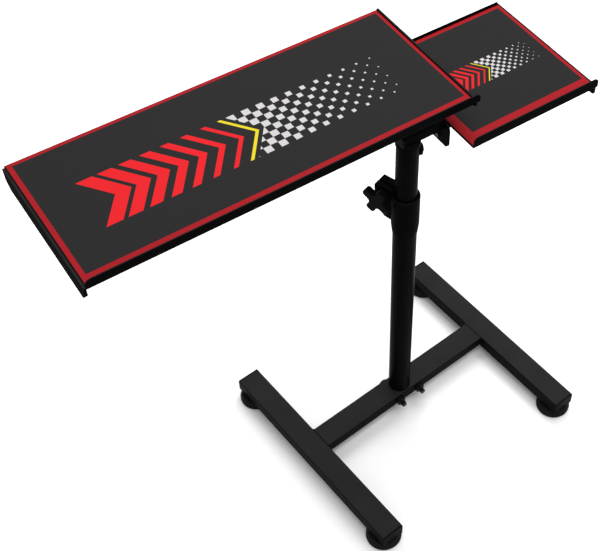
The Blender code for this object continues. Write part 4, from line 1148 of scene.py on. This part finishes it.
class TRAYSTAND_OT_stage(bpy.types.Operator):
    """Lays the floor and sets the camera and the lights"""

    bl_idname = "traystand.stage"
    bl_label = "Stage"
    bl_options = {"REGISTER", "UNDO"}

    def execute(self, context):
        stage = context.scene.tray_stand_stage
        pick_nothing()
        bpy.ops.mesh.primitive_plane_add(size=stage.floor_size, location=(0.0, 0.0, 0.0))
        floor = bpy.context.object
        floor.name = "studio_floor"
        finish = Finish("studio_floor")
        floor.data.materials.append(finish.surface(
            Base_Color=opaque(stage.floor_colour), Roughness=0.9, Specular_IOR_Level=FLOOR_GLOSS))

        data = bpy.data.cameras.new("studio_camera")
        camera = bpy.data.objects.new("studio_camera", data)
        context.scene.collection.objects.link(camera)
        right = Vector(stage.camera_right).normalized()
        up = Vector(stage.camera_up).normalized()
        back = right.cross(up)
        turn = Matrix((right, up, back)).transposed().to_4x4()
        camera.matrix_world = Matrix.Translation(FOOT + Vector(stage.camera_offset)) @ turn
        data.lens = stage.lens
        data.sensor_width = 36.0
        data.shift_x = stage.shift_x
        data.shift_y = stage.shift_y
        data.clip_start = 0.05
        data.clip_end = 60.0
        context.scene.camera = camera

        world = bpy.data.worlds.new("studio_sky")
        world.use_nodes = True
        sky = world.node_tree.nodes["Background"]
        sky.inputs["Color"].default_value = (1.0, 1.0, 1.0, 1.0)
        sky.inputs["Strength"].default_value = stage.sky_strength
        context.scene.world = world
        context.scene.view_settings.view_transform = "Standard"

        self.light("back_light", stage, stage.back_place, stage.back_power)
        self.light("overhead_light", stage, stage.overhead_place, stage.overhead_power)
        return {"FINISHED"}

    def light(self, name, stage, offset, power):
        """Hangs a square light at an offset from the point that it faces."""
        data = bpy.data.lights.new(name, "AREA")
        data.shape = "SQUARE"
        data.size = stage.light_size
        data.energy = power
        lamp = bpy.data.objects.new(name, data)
        bpy.context.scene.collection.objects.link(lamp)
        aim = Vector((COLUMN.x, COLUMN.y, stage.aim_height))
        place = aim + Vector(offset)
        turn = (aim - place).to_track_quat("-Z", "Y").to_matrix().to_4x4()
        lamp.matrix_world = Matrix.Translation(place) @ turn


OPERATORS = (
    TRAYSTAND_OT_stage,
    TRAYSTAND_OT_base,
    TRAYSTAND_OT_caps,
    TRAYSTAND_OT_feet,
    TRAYSTAND_OT_column,
    TRAYSTAND_OT_clamp,
    TRAYSTAND_OT_head,
    TRAYSTAND_OT_keyboard_tray,
    TRAYSTAND_OT_mouse_tray,
    TRAYSTAND_OT_mats,
    TRAYSTAND_OT_fasteners,
)


class TRAYSTAND_PT_panel(bpy.types.Panel):
    """Settings and steps of the tray stand"""

    bl_label = "Tray Stand"
    bl_idname = "TRAYSTAND_PT_panel"
    bl_space_type = "VIEW_3D"
    bl_region_type = "UI"
    bl_category = "Tray Stand"

    def draw(self, context):
        for name, group in SETTINGS:
            box = self.layout.box()
            settings = getattr(context.scene, name)
            for key in group.__annotations__:
                box.prop(settings, key)
        for operator in OPERATORS:
            self.layout.operator(operator.bl_idname)


CLASSES = [group for _, group in SETTINGS] + list(OPERATORS) + [TRAYSTAND_PT_panel]


def register():
    """Makes the settings, the steps and the panel known to Blender."""
    for kind in CLASSES:
        bpy.utils.register_class(kind)
    for name, group in SETTINGS:
        setattr(bpy.types.Scene, name, bpy.props.PointerProperty(type=group))


def unregister():
    """Takes the panel, the steps and the settings away again."""
    for name, _ in reversed(SETTINGS):
        delattr(bpy.types.Scene, name)
    for kind in reversed(CLASSES):
        bpy.utils.unregister_class(kind)


def main():
    """Registers the add-on and makes every piece."""
    register()
    MATERIALS.update(
        powder=powder_coat("powder_coat", BASE_GLOSS, depth=1.0),
        sheet=powder_coat("sheet_powder_coat", SHEET_GLOSS, depth=1.6),
        plate=powder_coat("plate_powder_coat", PLATE_GLOSS, depth=1.2),
        tube=tube_paint(), plastic=moulded_plastic(), oxide=black_oxide(),
        zinc=zinc_plate(), rubber=foot_rubber())
    bpy.ops.traystand.stage()
    bpy.ops.traystand.base()
    bpy.ops.traystand.caps()
    bpy.ops.traystand.feet()
    bpy.ops.traystand.column()
    bpy.ops.traystand.clamp()
    bpy.ops.traystand.head()
    bpy.ops.traystand.keyboard_tray()
    bpy.ops.traystand.mouse_tray()
    bpy.ops.traystand.mats()
    bpy.ops.traystand.fasteners()
    pick_nothing()


if __name__ == "__main__":
    main()
